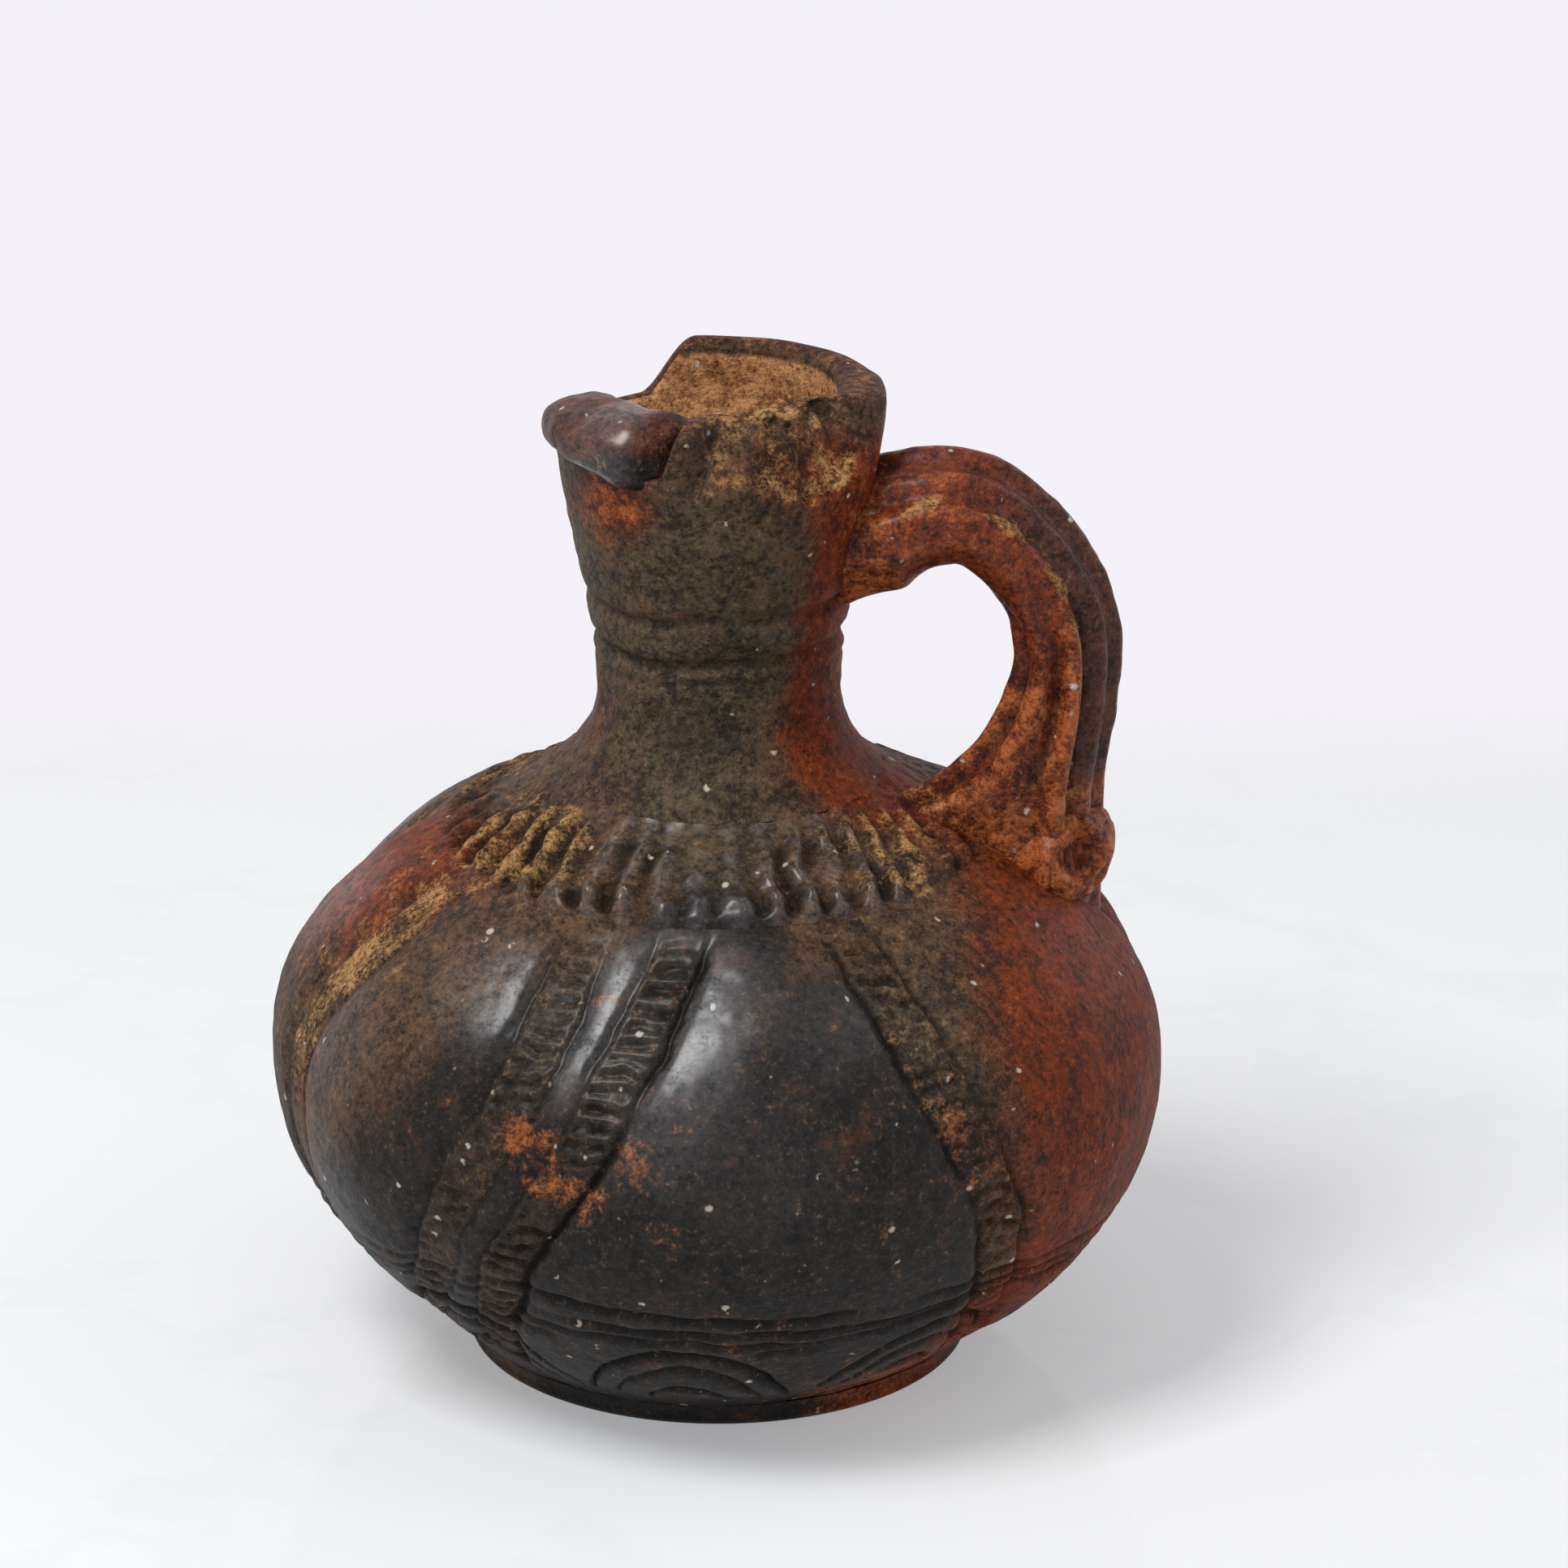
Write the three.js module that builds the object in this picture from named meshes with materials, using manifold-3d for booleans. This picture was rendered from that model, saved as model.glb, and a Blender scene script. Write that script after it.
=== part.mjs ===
// A small hand-made pottery jug: a squat lobed body on a low disc foot, a collar of
// radial ribs round the root of a flared neck, a pouring lip with a rolled edge, and
// a ridged strap handle that ends in a thumb-pressed knob. Millimetres, +Z up, with
// the origin at the middle of the foot's underside. The front faces -Y, the handle +X.

import * as THREE from 'three';
import { mergeVertices } from 'three/addons/utils/BufferGeometryUtils.js';
import Module from 'manifold-3d';

const wasm = await Module();
wasm.setup();

const TAU = 2 * Math.PI;
const rad = THREE.MathUtils.degToRad;

// Foot
const footRadius = 25.8;
const footHeight = 2.6;
const footEdgeRound = 0.9;

// Outer profile of the vessel: radius and height of the places where its curves meet
const bowlRootRadius = 26.3;
const bellyRadius = 44.3;
const bellyLevel = 31;
const shoulderRadius = 28.2;
const shoulderLevel = 54.4;
const neckRadius = 12.4;
const neckLevel = 70.5;
const mouthRootRadius = 15.6;
const mouthRootLevel = 91;
const mouthRadius = 16.8;
const rimLevel = 101;

// How far sideways and up each curve keeps its direction before it bends
const bowlRun = 6.5;
const bowlClimb = 5.4;
const bellyClimbBelow = 14;
const bellyClimbAbove = 9;
const shoulderRun = 11.6;
const shoulderClimb = 8.4;
const collarRun = 7.7;
const collarClimb = 3.9;
const waistPinch = 0.6;
const waistClimbBelow = 8.5;
const waistClimbAbove = 6;
const flareRun = 1.2;
const flareClimb = 7.5;
const edgeRun = 0.5;
const edgeClimb = 3;

// Levels where one clay part is luted to the next
const bodySeam = 30;
const collarTop = 61;

// Clay thickness. The rim is thicker in front than behind.
const bodyWall = 3.4;
const floorThickness = 3.4;
const floorCorner = 2;
const floorBevel = 6;
const rimWallFront = 7.6;
const rimWallBack = 2.6;
const rimWallClimb = 6;
const thickestAngle = -80;

// Smooth lobes between the incised bands, and where they start above the foot
const lobeRise = 1.1;
const wideLobe = 20;
const lobeStart = 1.4;
const lobeClimb = 6;

// Incised bands. Each one is two grooves side by side that lean as they run down the
// body, given by the angle of its middle at the shoulder, the belly and the foot.
// Angles are in degrees round from +X, so -90 is the front.
const bands = [
  [-151.5, -162, -158],
  [-114.5, -121, -141],
  [-96.5, -108.5, -127.5],
  [-65, -56, -44],
  [2, 7, 14],
  [17, 23, 32],
  [75, 76, 80],
  [115, 124, 135],
  [164, 162, 166],
];
const bandHalfWidth = [5.6, 4.7, 4.4];
const bandLevels = [54, 36, 12];
const bandGrooveDepth = 0.6;
const bandSink = 0.15;

// Pair of horizontal grooves low on the body
const lowGrooves = [16.4, 19];
const lowGrooveWidth = 1.7;
const lowGrooveDepth = 0.5;

// Collar of radial ribs
const collarRibs = 36;
const collarRise = 1;
const collarRibDepth = 1.1;

// Two soft grooves round the neck
const neckGrooves = [75.8, 80.8];
const neckGrooveWidth = 3.6;
const neckGrooveDepth = 0.6;

// Flat-bottomed dip of the rim that makes the pouring channel
const pourAngle = 137;
const pourHalfWidth = 28;
const pourRamp = 22;
const pourDepth = 5.2;

// Rolled coil on the lip, from its end behind the channel to its broken end in front.
// It leans out and down, and its back end is lower and thinner.
const rollFrom = 150;
const rollTo = 258;
const rollInset = 2.9;
const rollDrop = 2.8;
const rollBackDrop = 1.6;
const rollBackSize = 0.66;
const rollBackShare = 2 / 9;
const rollHalfDepth = 4.2;
const rollHalfHeight = 2.8;
const rollTilt = 0.16;
const rollBedDrop = 5;
const rollBedFade = 8;

// Slope where the coil has broken away from the front and right of the mouth
const breakFrom = -106;
const breakTo = -8;
const breakStartFade = 8;
const breakEndFade = 26;
const breakHeight = 6.8;
const breakDepth = 4.4;

// Strap handle, in its own upright plane: it leaves the neck below the mouth, rises to
// a crest, bends down at its full reach and stands on the shoulder
const handleAngle = -4;
const handleRootDrop = 5;
const handleBed = 3.4;
const handleCrestOut = 8.6;
const handleCrestRise = 2.6;
const handleOverhang = 0.9;
const handleReachDrop = 12.4;
const handleLegBow = 1.7;
const handleFullness = 0.47;
const strapHalfWidth = 6.3;
const strapHalfThickness = 3.9;
const strapSquareness = 2.6;
const strapRidge = 0.55;
const strapTwist = 30;
const strapNeckSwell = 0.2;
const strapFootTaper = 0.25;
const strapFootShare = 0.1;

// Clay smeared from the strap's underside down the neck and in along the shoulder
const filletDrop = 2.4;
const filletRun = 1.4;
const webReach = 12;
const webSpread = 26;
const webHeight = 4.8;

// Thumb-pressed knob where the strap ends on the shoulder
const knobInset = 10.4;
const knobStand = 2.9;
const knobHalfDepth = 5.6;
const knobHalfWidth = 7.4;
const knobHalfHeight = 6.4;
const knobPressDepth = 0.18;

// Gap left where one piece is shaped to lie against another
const clearance = 0.3;
const slopeClearance = 0.45;

// Number of facets
const panelSteps = 4;
const neckSides = 48;
const rimSides = 60;
const footSides = 48;

function smooth(t) {
  const s = THREE.MathUtils.clamp(t, 0, 1);
  return s * s * (3 - 2 * s);
}

// A soft channel or ridge: 1 in the middle, 0 at half its width to either side
function swell(distance, width) {
  const u = Math.abs(distance) / (width / 2);
  return u < 1 ? 0.5 * (1 + Math.cos(Math.PI * u)) : 0;
}

function bezier(...points) {
  const [a, b, c, d] = points.map(([x, y]) => new THREE.Vector2(x, y));
  return new THREE.CubicBezierCurve(a, b, c, d);
}

// Outer profile from the foot to the mouth
const outerProfile = [
  bezier([bowlRootRadius, footHeight], [bowlRootRadius + bowlRun, footHeight + bowlClimb],
    [bellyRadius, bellyLevel - bellyClimbBelow], [bellyRadius, bellyLevel]),
  bezier([bellyRadius, bellyLevel], [bellyRadius, bellyLevel + bellyClimbAbove],
    [shoulderRadius + shoulderRun, shoulderLevel - shoulderClimb], [shoulderRadius, shoulderLevel]),
  bezier([shoulderRadius, shoulderLevel], [shoulderRadius - collarRun, shoulderLevel + collarClimb],
    [neckRadius - waistPinch, neckLevel - waistClimbBelow], [neckRadius, neckLevel]),
  bezier([neckRadius, neckLevel], [neckRadius, neckLevel + waistClimbAbove],
    [mouthRootRadius - flareRun, mouthRootLevel - flareClimb], [mouthRootRadius, mouthRootLevel]),
  bezier([mouthRootRadius, mouthRootLevel], [mouthRootRadius + edgeRun, mouthRootLevel + edgeClimb],
    [mouthRadius, rimLevel - edgeClimb], [mouthRadius, rimLevel]),
].flatMap((curve, i) => curve.getPoints(40).slice(i > 0 ? 1 : 0));

// The same profile moved in by the wall
const innerProfile = outerProfile.slice(1, -1).map((point, i) => {
  const along = outerProfile[i + 2].clone().sub(outerProfile[i]).normalize();
  return new THREE.Vector2(point.x - along.y * bodyWall, point.y + along.x * bodyWall);
});

function radiusOn(profile, level) {
  const i = profile.findIndex((point) => point.y > level);
  if (i < 0) return profile.at(-1).x;
  if (i === 0) return profile[0].x;
  const [a, b] = [profile[i - 1], profile[i]];
  return THREE.MathUtils.lerp(a.x, b.x, (level - a.y) / (b.y - a.y));
}

const outerRadius = (level) => radiusOn(outerProfile, level);
const innerRadius = (level) => radiusOn(innerProfile, level);

// Level of the body's upper side at a distance from its axis
function shoulderTop(radius) {
  const upper = outerProfile.filter((point) => point.y >= bellyLevel);
  const i = Math.max(1, upper.findIndex((point) => point.x <= radius));
  const [a, b] = [upper[i - 1], upper[i]];
  return THREE.MathUtils.lerp(a.y, b.y, (a.x - radius) / (a.x - b.x));
}

function around(radius, angle, level) {
  return new THREE.Vector3(radius * Math.cos(angle), radius * Math.sin(angle), level);
}

// Closed or open-ended skin over rings of points that all turn the same way. A ring of
// one point is a pole. Without poles the last ring is joined to the first.
function loft(rings) {
  const starts = [];
  const positions = [];
  for (const ring of rings) {
    starts.push(positions.length / 3);
    for (const point of ring) positions.push(point.x, point.y, point.z);
  }
  const index = [];
  const poles = rings[0].length === 1;
  const spans = poles ? rings.length - 1 : rings.length;
  for (let i = 0; i < spans; i++) {
    const j = (i + 1) % rings.length;
    const sides = Math.max(rings[i].length, rings[j].length);
    for (let k = 0; k < sides; k++) {
      const next = (k + 1) % sides;
      const [a, b, c, d] = [starts[i] + k, starts[i] + next, starts[j] + next, starts[j] + k];
      if (rings[i].length === 1) index.push(starts[i], c, d);
      else if (rings[j].length === 1) index.push(a, b, starts[j]);
      else index.push(a, b, c, a, c, d);
    }
  }
  const geometry = new THREE.BufferGeometry();
  geometry.setAttribute('position', new THREE.Float32BufferAttribute(positions, 3));
  geometry.setIndex(index);
  return geometry;
}

function solid(geometry) {
  const bare = geometry.clone();
  bare.deleteAttribute('normal');
  bare.deleteAttribute('uv');
  const merged = mergeVertices(bare, 1e-4);
  return new wasm.Manifold(new wasm.Mesh({
    numProp: 3,
    vertProperties: new Float32Array(merged.attributes.position.array),
    triVerts: new Uint32Array(merged.index.array),
  }));
}

function geometryOf(shape) {
  const mesh = shape.getMesh();
  const geometry = new THREE.BufferGeometry();
  geometry.setAttribute('position', new THREE.BufferAttribute(mesh.vertProperties, 3));
  geometry.setIndex(new THREE.BufferAttribute(mesh.triVerts, 1));
  return geometry;
}

// Value at a level from three values given at the band levels
function alongBand(values, level) {
  const [za, zb, zc] = bandLevels;
  const z = THREE.MathUtils.clamp(level, footHeight, shoulderLevel);
  const a = values[0] * ((z - zb) * (z - zc)) / ((za - zb) * (za - zc));
  const b = values[1] * ((z - za) * (z - zc)) / ((zb - za) * (zb - zc));
  const c = values[2] * ((z - za) * (z - zb)) / ((zc - za) * (zc - zb));
  return a + b + c;
}

// Cross-section of a band: places across it, in half widths, and how deep each one is
const bandSection = [
  [-1.2, 0],
  [-0.85, -bandGrooveDepth],
  [-0.5, -bandSink],
  [0.5, -bandSink],
  [0.85, -bandGrooveDepth],
  [1.2, 0],
];

// Angle and rise of every column of the body wall at one level. The columns follow the
// bands, so each groove stays crisp while it leans across the body.
function bodyColumns(level) {
  const fade = smooth((level - footHeight - lobeStart) / lobeClimb);
  const half = alongBand(bandHalfWidth, level);
  const columns = [];
  bands.forEach((band, i) => {
    const middle = alongBand(band, level);
    for (const [across, depth] of bandSection) {
      columns.push([rad(middle + across * half), depth * fade]);
    }
    const next = i + 1 < bands.length ? bands[i + 1] : bands[0].map((angle) => angle + 360);
    const edge = bandSection.at(-1)[0] * half;
    const from = middle + edge;
    const to = alongBand(next, level) - edge;
    const width = rad(to - from) * outerRadius(level);
    const rise = lobeRise * Math.min(1, width / wideLobe) * fade;
    for (let k = 1; k < panelSteps; k++) {
      const s = k / panelSteps;
      const angle = THREE.MathUtils.lerp(from, to, s);
      columns.push([rad(angle), rise * Math.sqrt(4 * s * (1 - s))]);
    }
  });
  return columns;
}

function lowGrooveCut(level) {
  return lowGrooves.reduce((cut, at) => cut + lowGrooveDepth * swell(level - at, lowGrooveWidth), 0);
}

function bodyRing(level, extra = 0) {
  const radius = outerRadius(level) - lowGrooveCut(level) + extra;
  return bodyColumns(level).map(([angle, rise]) => around(radius + rise, angle, level));
}

function bodyInnerRing(level, radius = innerRadius(level)) {
  return bodyColumns(level).map(([angle]) => around(radius, angle, level));
}

function levels(from, to, count) {
  return Array.from({ length: count + 1 }, (_, i) => THREE.MathUtils.lerp(from, to, i / count));
}

// Levels that catch both edges and the bottom of each groove
function grooveLevels(grooves, width) {
  return grooves.flatMap((at) => [at - width / 2, at, at + width / 2]);
}

// Low disc that the jug stands on
function footDisc() {
  const corner = levels(0, Math.PI / 2, 4).map((turn) => new THREE.Vector2(
    footRadius - footEdgeRound + footEdgeRound * Math.sin(turn),
    footEdgeRound - footEdgeRound * Math.cos(turn),
  ));
  const profile = [
    new THREE.Vector2(0, 0),
    ...corner,
    new THREE.Vector2(footRadius, footHeight),
    new THREE.Vector2(0, footHeight),
  ];
  return new THREE.LatheGeometry(profile, footSides).rotateX(Math.PI / 2);
}

// Bowl-shaped lower half, closed by its floor
const lowerLevels = [
  ...levels(footHeight, lowGrooves[0] - lowGrooveWidth / 2, 4).slice(0, -1),
  ...grooveLevels(lowGrooves, lowGrooveWidth),
  ...levels(lowGrooves[1] + lowGrooveWidth / 2, bodySeam, 3).slice(1),
];

function lowerBody() {
  const floor = footHeight + floorThickness;
  return loft([
    [new THREE.Vector3(0, 0, footHeight)],
    ...lowerLevels.map((level) => bodyRing(level)),
    ...levels(bodySeam, floor + floorCorner, 4).map((level) => bodyInnerRing(level)),
    bodyInnerRing(floor, innerRadius(floor + floorCorner) - floorBevel),
    [new THREE.Vector3(0, 0, floor)],
  ]);
}

// Upper half, from the belly to the collar
const upperLevels = levels(bodySeam, shoulderLevel, 9);

function upperBody() {
  return loft([
    ...upperLevels.map((level) => bodyRing(level)),
    ...levels(shoulderLevel, bodySeam, 5).map((level) => bodyInnerRing(level)),
  ]);
}

// Collar: ribs that run out from the neck and end in rounded bumps on a small step
const collarLevels = [0, 0.09, 0.24, 0.42, 0.67, 1].map((share) => (
  THREE.MathUtils.lerp(shoulderLevel, collarTop, share)));

function collarAngles() {
  return levels(0, TAU, collarRibs * 4).slice(0, -1);
}

function collarRing(level, extra = 0) {
  const height = (level - shoulderLevel) / (collarTop - shoulderLevel);
  const rise = collarRise * (1 - smooth(height));
  const ribs = collarRibDepth * smooth(4 * (1 - height) * (height + 0.25));
  return collarAngles().map((angle, i) => {
    const crest = [0, 0.5, 1, 0.5][i % 4];
    return around(outerRadius(level) + rise + ribs * (crest - 0.5) + extra, angle, level);
  });
}

function collar() {
  return loft([
    ...collarLevels.map((level) => collarRing(level)),
    ...levels(collarTop, shoulderLevel, 2).map((level) => (
      collarAngles().map((angle) => around(innerRadius(level), angle, level)))),
  ]);
}

// Neck: a flared tube with two soft grooves
const neckLevels = [
  ...levels(collarTop, neckGrooves[0] - neckGrooveWidth / 2, 5).slice(0, -1),
  ...grooveLevels(neckGrooves, neckGrooveWidth),
  ...levels(neckGrooves[1] + neckGrooveWidth / 2, mouthRootLevel, 3).slice(1),
];

function circle(radius, level, sides) {
  return levels(0, TAU, sides).slice(0, -1).map((angle) => around(radius, angle, level));
}

function neckRing(level, extra = 0) {
  const cut = neckGrooves.reduce((sum, at) => (
    sum + neckGrooveDepth * swell(level - at, neckGrooveWidth)), 0);
  return circle(outerRadius(level) - cut + extra, level, neckSides);
}

function neck() {
  return loft([
    ...neckLevels.map((level) => neckRing(level)),
    ...levels(mouthRootLevel, collarTop, 5).map((level) => (
      circle(innerRadius(level), level, neckSides))),
  ]);
}

// Height of the rim at an angle: it dips for the pouring channel, and it is low under
// the rolled coil, which lies on it there
function rimTop(degrees) {
  const fromPour = Math.abs(THREE.MathUtils.euclideanModulo(degrees - pourAngle + 180, 360) - 180);
  const dip = pourDepth * smooth(0.5 + (pourHalfWidth - fromPour) / pourRamp);
  const inRoll = smooth(0.5 + (degrees - rollFrom) / rollBedFade)
    * smooth(0.5 + (rollTo - degrees) / rollBedFade);
  return rimLevel - Math.max(dip, rollBedDrop * inRoll);
}

// Thickness of the mouth's wall: the neck's own at its root, uneven at its edge
function rimThickness(degrees, level) {
  const root = mouthRootRadius - innerRadius(mouthRootLevel);
  const nearFront = (1 + Math.cos(rad(degrees - thickestAngle))) / 2;
  const edge = THREE.MathUtils.lerp(rimWallBack, rimWallFront, nearFront);
  return THREE.MathUtils.lerp(root, edge, smooth((level - mouthRootLevel) / rimWallClimb));
}

// How far the break slopes in from the outside
function breakCut(degrees, level) {
  const turned = degrees > 180 ? degrees - 360 : degrees;
  const inBreak = smooth((turned - breakFrom) / breakStartFade)
    * smooth((breakTo - turned) / breakEndFade);
  const height = (level - rimLevel + breakHeight) / breakHeight;
  return breakDepth * inBreak * THREE.MathUtils.clamp(height, 0, 1);
}

// Ring of the mouth's wall at a share of its height. Its inset is 0 on the outside and
// 1 on the inside.
function rimRing(share, inset, extra = 0) {
  return levels(0, 360, rimSides).slice(0, -1).map((degrees) => {
    const level = THREE.MathUtils.lerp(mouthRootLevel, rimTop(degrees), share);
    const cut = (1 - inset) * breakCut(degrees, level);
    const radius = outerRadius(level) - cut - inset * rimThickness(degrees, level);
    return around(radius + extra, rad(degrees), level);
  });
}

function rimWall() {
  const whole = loft([
    rimRing(0, 0),
    rimRing(0.4, 0),
    rimRing(0.85, 0),
    rimRing(0.97, 0.14),
    rimRing(1, 0.35),
    rimRing(1, 0.8),
    rimRing(0.93, 1),
    rimRing(0.4, 1),
    rimRing(0, 1),
  ]);
  return geometryOf(solid(whole).subtract(solid(lipRoll(clearance))));
}

// Rolled coil of the lip: a leaning oval section along an arc, blunt at both ends
function lipRoll(extra = 0) {
  const steps = 20;
  const radius = mouthRadius - rollInset;
  const behind = (share) => 1 - smooth(share / rollBackShare);
  const middle = (share) => rimLevel - rollDrop - rollBackDrop * behind(share);
  const rings = levels(0, 1, steps).slice(1, -1).map((share) => {
    const degrees = THREE.MathUtils.lerp(rollFrom, rollTo, share);
    const blunt = Math.sqrt(1 - Math.abs(2 * share - 1) ** 10);
    const taper = blunt * THREE.MathUtils.lerp(1, rollBackSize, behind(share));
    return levels(0, TAU, 12).slice(0, -1).map((turn) => {
      const out = (rollHalfDepth + extra) * taper * Math.cos(turn);
      const up = (rollHalfHeight + extra) * taper * Math.sin(turn) - rollTilt * out;
      return around(radius + out, rad(degrees), middle(share) + up);
    }).reverse();
  });
  const end = (degrees, share) => [around(radius, rad(degrees), middle(share))];
  const reach = THREE.MathUtils.radToDeg(extra / radius);
  return loft([end(rollFrom - reach, 0), ...rings, end(rollTo + reach, 1)]);
}

// Solid inside of the vessel, grown a little, for shaping what lies against it
function vesselCore() {
  const core = (rings) => solid(loft([
    [new THREE.Vector3(0, 0, rings[0][0].z)],
    ...rings,
    [new THREE.Vector3(0, 0, rings.at(-1)[0].z)],
  ]));
  return core(upperLevels.map((level) => bodyRing(level, slopeClearance)))
    .add(core(collarLevels.map((level) => collarRing(level, slopeClearance))))
    .add(core(neckLevels.map((level) => neckRing(level, slopeClearance))))
    .add(core([0, 0.4, 0.85].map((share) => rimRing(share, 0, slopeClearance))));
}

// Cross-section of the strap: a rounded oblong whose outer face has three ridges
function strapSection(grow) {
  const outerFace = levels(0, Math.PI, 12);
  const innerFace = levels(Math.PI, TAU, 6).slice(1, -1);
  const power = 2 / strapSquareness;
  return [...outerFace, ...innerFace].map((turn) => {
    const [c, s] = [Math.cos(turn), Math.sin(turn)];
    const across = Math.sign(c) * Math.pow(Math.abs(c), power);
    const out = Math.sign(s) * Math.pow(Math.abs(s), power);
    const ridge = s > 0 ? strapRidge * Math.cos(3 * Math.PI * across) * (1 - across ** 4) : 0;
    return [across * strapHalfWidth * grow, out * strapHalfThickness * grow + ridge];
  });
}

// Middle line of the strap: distance from the axis and level
function strapLine() {
  const rootLevel = mouthRootLevel - handleRootDrop;
  const neckSide = outerRadius(rootLevel);
  const [rootOut, crestOut] = [neckSide - handleBed, neckSide + handleCrestOut];
  const crestLevel = rootLevel + handleCrestRise;
  const widestLevel = rootLevel - handleReachDrop;
  const [footOut, footLevel] = knobMiddle();
  const handleReach = footOut + handleOverhang;
  const rise = handleFullness * (crestOut - rootOut);
  const bend = handleFullness * (crestLevel - widestLevel);
  const leg = handleFullness * (widestLevel - footLevel);
  const line = new THREE.CurvePath();
  line.add(bezier([rootOut, rootLevel], [rootOut + rise, rootLevel + handleFullness * handleCrestRise],
    [crestOut - rise, crestLevel], [crestOut, crestLevel]));
  line.add(bezier([crestOut, crestLevel], [crestOut + handleFullness * (handleReach - crestOut), crestLevel],
    [handleReach, widestLevel + bend], [handleReach, widestLevel]));
  line.add(bezier([handleReach, widestLevel], [handleReach, widestLevel - leg],
    [footOut - handleLegBow, footLevel + leg], [footOut, footLevel]));
  return line;
}

function strap() {
  const line = strapLine();
  const steps = 30;
  const twist = rad(strapTwist);
  const neckSide = outerRadius(mouthRootLevel - handleRootDrop);
  const rings = levels(0, 1, steps).map((share) => {
    const at = line.getPointAt(share);
    const along = line.getTangentAt(share);
    const swell = strapNeckSwell * smooth(1 - share / 0.3);
    const grow = 1 + swell - strapFootTaper * smooth(1 - (1 - share) / strapFootShare);
    const fillet = filletDrop * Math.exp(-Math.max(0, at.x - neckSide) / filletRun);
    const lower = smooth((share - 0.55) / 0.15);
    return strapSection(grow).map(([across, outward]) => {
      const side = across * Math.cos(twist) - outward * Math.sin(twist);
      const lift = across * Math.sin(twist) + outward * Math.cos(twist);
      const under = smooth(-lift / strapHalfThickness);
      const outside = lift - fillet * under;
      const [out, level] = [at.x - along.y * outside, at.y + along.x * outside];
      const above = Math.max(0, level - shoulderTop(out));
      const web = Math.min(webReach, webSpread * Math.exp(-above / webHeight));
      return new THREE.Vector3(out - web * under * lower, side, level);
    });
  });
  const end = (share) => {
    const at = line.getPointAt(share);
    return [new THREE.Vector3(at.x, 0, at.y)];
  };
  return loft([end(0), ...rings, end(1)]).rotateZ(rad(handleAngle));
}

function handleStrap(core) {
  return geometryOf(solid(strap()).subtract(core).subtract(solid(knob(clearance))));
}

// Knob: a flattened ball of clay across the strap's end, with a thumb print in its front
function knobMiddle() {
  const reach = bellyRadius - knobInset;
  return [reach, shoulderTop(reach) + knobStand];
}

function knob(extra = 0) {
  const ball = new THREE.SphereGeometry(1, 20, 12).rotateX(Math.PI / 2);
  const position = ball.attributes.position;
  const thumb = new THREE.Vector3(0.9, -0.35, 0.25).normalize();
  const point = new THREE.Vector3();
  for (let i = 0; i < position.count; i++) {
    point.fromBufferAttribute(position, i);
    const press = smooth((point.dot(thumb) - 0.72) / 0.28);
    point.multiplyScalar(1 - knobPressDepth * press);
    position.setXYZ(i, point.x, point.y, point.z);
  }
  const [out, level] = knobMiddle();
  ball.scale(knobHalfDepth + extra, knobHalfWidth + extra, knobHalfHeight + extra);
  return ball.rotateZ(-rad(strapTwist)).translate(out, 0, level).rotateZ(rad(handleAngle));
}

function handleTerminal(core) {
  return geometryOf(solid(knob()).subtract(core));
}

const darkClay = { color: 0x2a211c, roughness: 0.5, metalness: 0 };
const redClay = { color: 0x7a3a20, roughness: 0.6, metalness: 0 };
const greyClay = { color: 0x4a4034, roughness: 0.7, metalness: 0 };
const lipClay = { color: 0x33231f, roughness: 0.5, metalness: 0 };

const jug = new THREE.Group();

function add(name, geometry, look) {
  const mesh = new THREE.Mesh(geometry, new THREE.MeshStandardMaterial(look));
  mesh.name = name;
  jug.add(mesh);
}

const core = vesselCore();
add('foot_disc', footDisc(), darkClay);
add('lower_body', lowerBody(), darkClay);
add('upper_body', upperBody(), darkClay);
add('collar', collar(), greyClay);
add('neck', neck(), greyClay);
add('rim_wall', rimWall(), greyClay);
add('lip_roll', lipRoll(), lipClay);
add('handle_strap', handleStrap(core), redClay);
add('handle_terminal', handleTerminal(core), redClay);

export default jug;
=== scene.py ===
import math
from itertools import product

import bpy
import numpy as np
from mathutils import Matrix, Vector


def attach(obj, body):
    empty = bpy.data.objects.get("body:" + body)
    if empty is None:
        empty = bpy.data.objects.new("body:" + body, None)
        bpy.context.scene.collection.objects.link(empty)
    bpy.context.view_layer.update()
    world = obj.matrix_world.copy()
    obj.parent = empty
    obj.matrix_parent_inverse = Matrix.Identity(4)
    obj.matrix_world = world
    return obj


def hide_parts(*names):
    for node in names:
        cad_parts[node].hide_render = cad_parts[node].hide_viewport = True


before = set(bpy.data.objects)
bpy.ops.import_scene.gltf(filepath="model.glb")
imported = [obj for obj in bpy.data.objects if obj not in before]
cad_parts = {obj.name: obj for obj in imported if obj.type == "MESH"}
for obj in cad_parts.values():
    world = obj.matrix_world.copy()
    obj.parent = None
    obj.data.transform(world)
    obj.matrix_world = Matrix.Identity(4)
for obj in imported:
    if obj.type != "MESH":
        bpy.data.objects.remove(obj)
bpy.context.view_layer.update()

# Foot disc
# The low round disc that the jug stands on: a slab of the same clay as the body,
# pressed under it and smoothed into it while both were soft. Its edge is worn round.

MM = 0.001
foot_radius = 26.3
foot_height = 2.6
foot_edge = 1.1
foot_taper = 0.7
foot_hub = 3
foot_rows = 12
foot_columns = 360


def smooth(value):
    """Soft step from 0 to 1."""
    value = np.clip(value, 0.0, 1.0)
    return value * value * (3 - 2 * value)


def swell(distance, width):
    """1 in the middle of a width and 0 at its edges, with a soft top and foot."""
    return np.where(np.abs(distance) < width / 2, 0.5 + 0.5 * np.cos(2 * np.pi * distance / width), 0.0)


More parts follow.
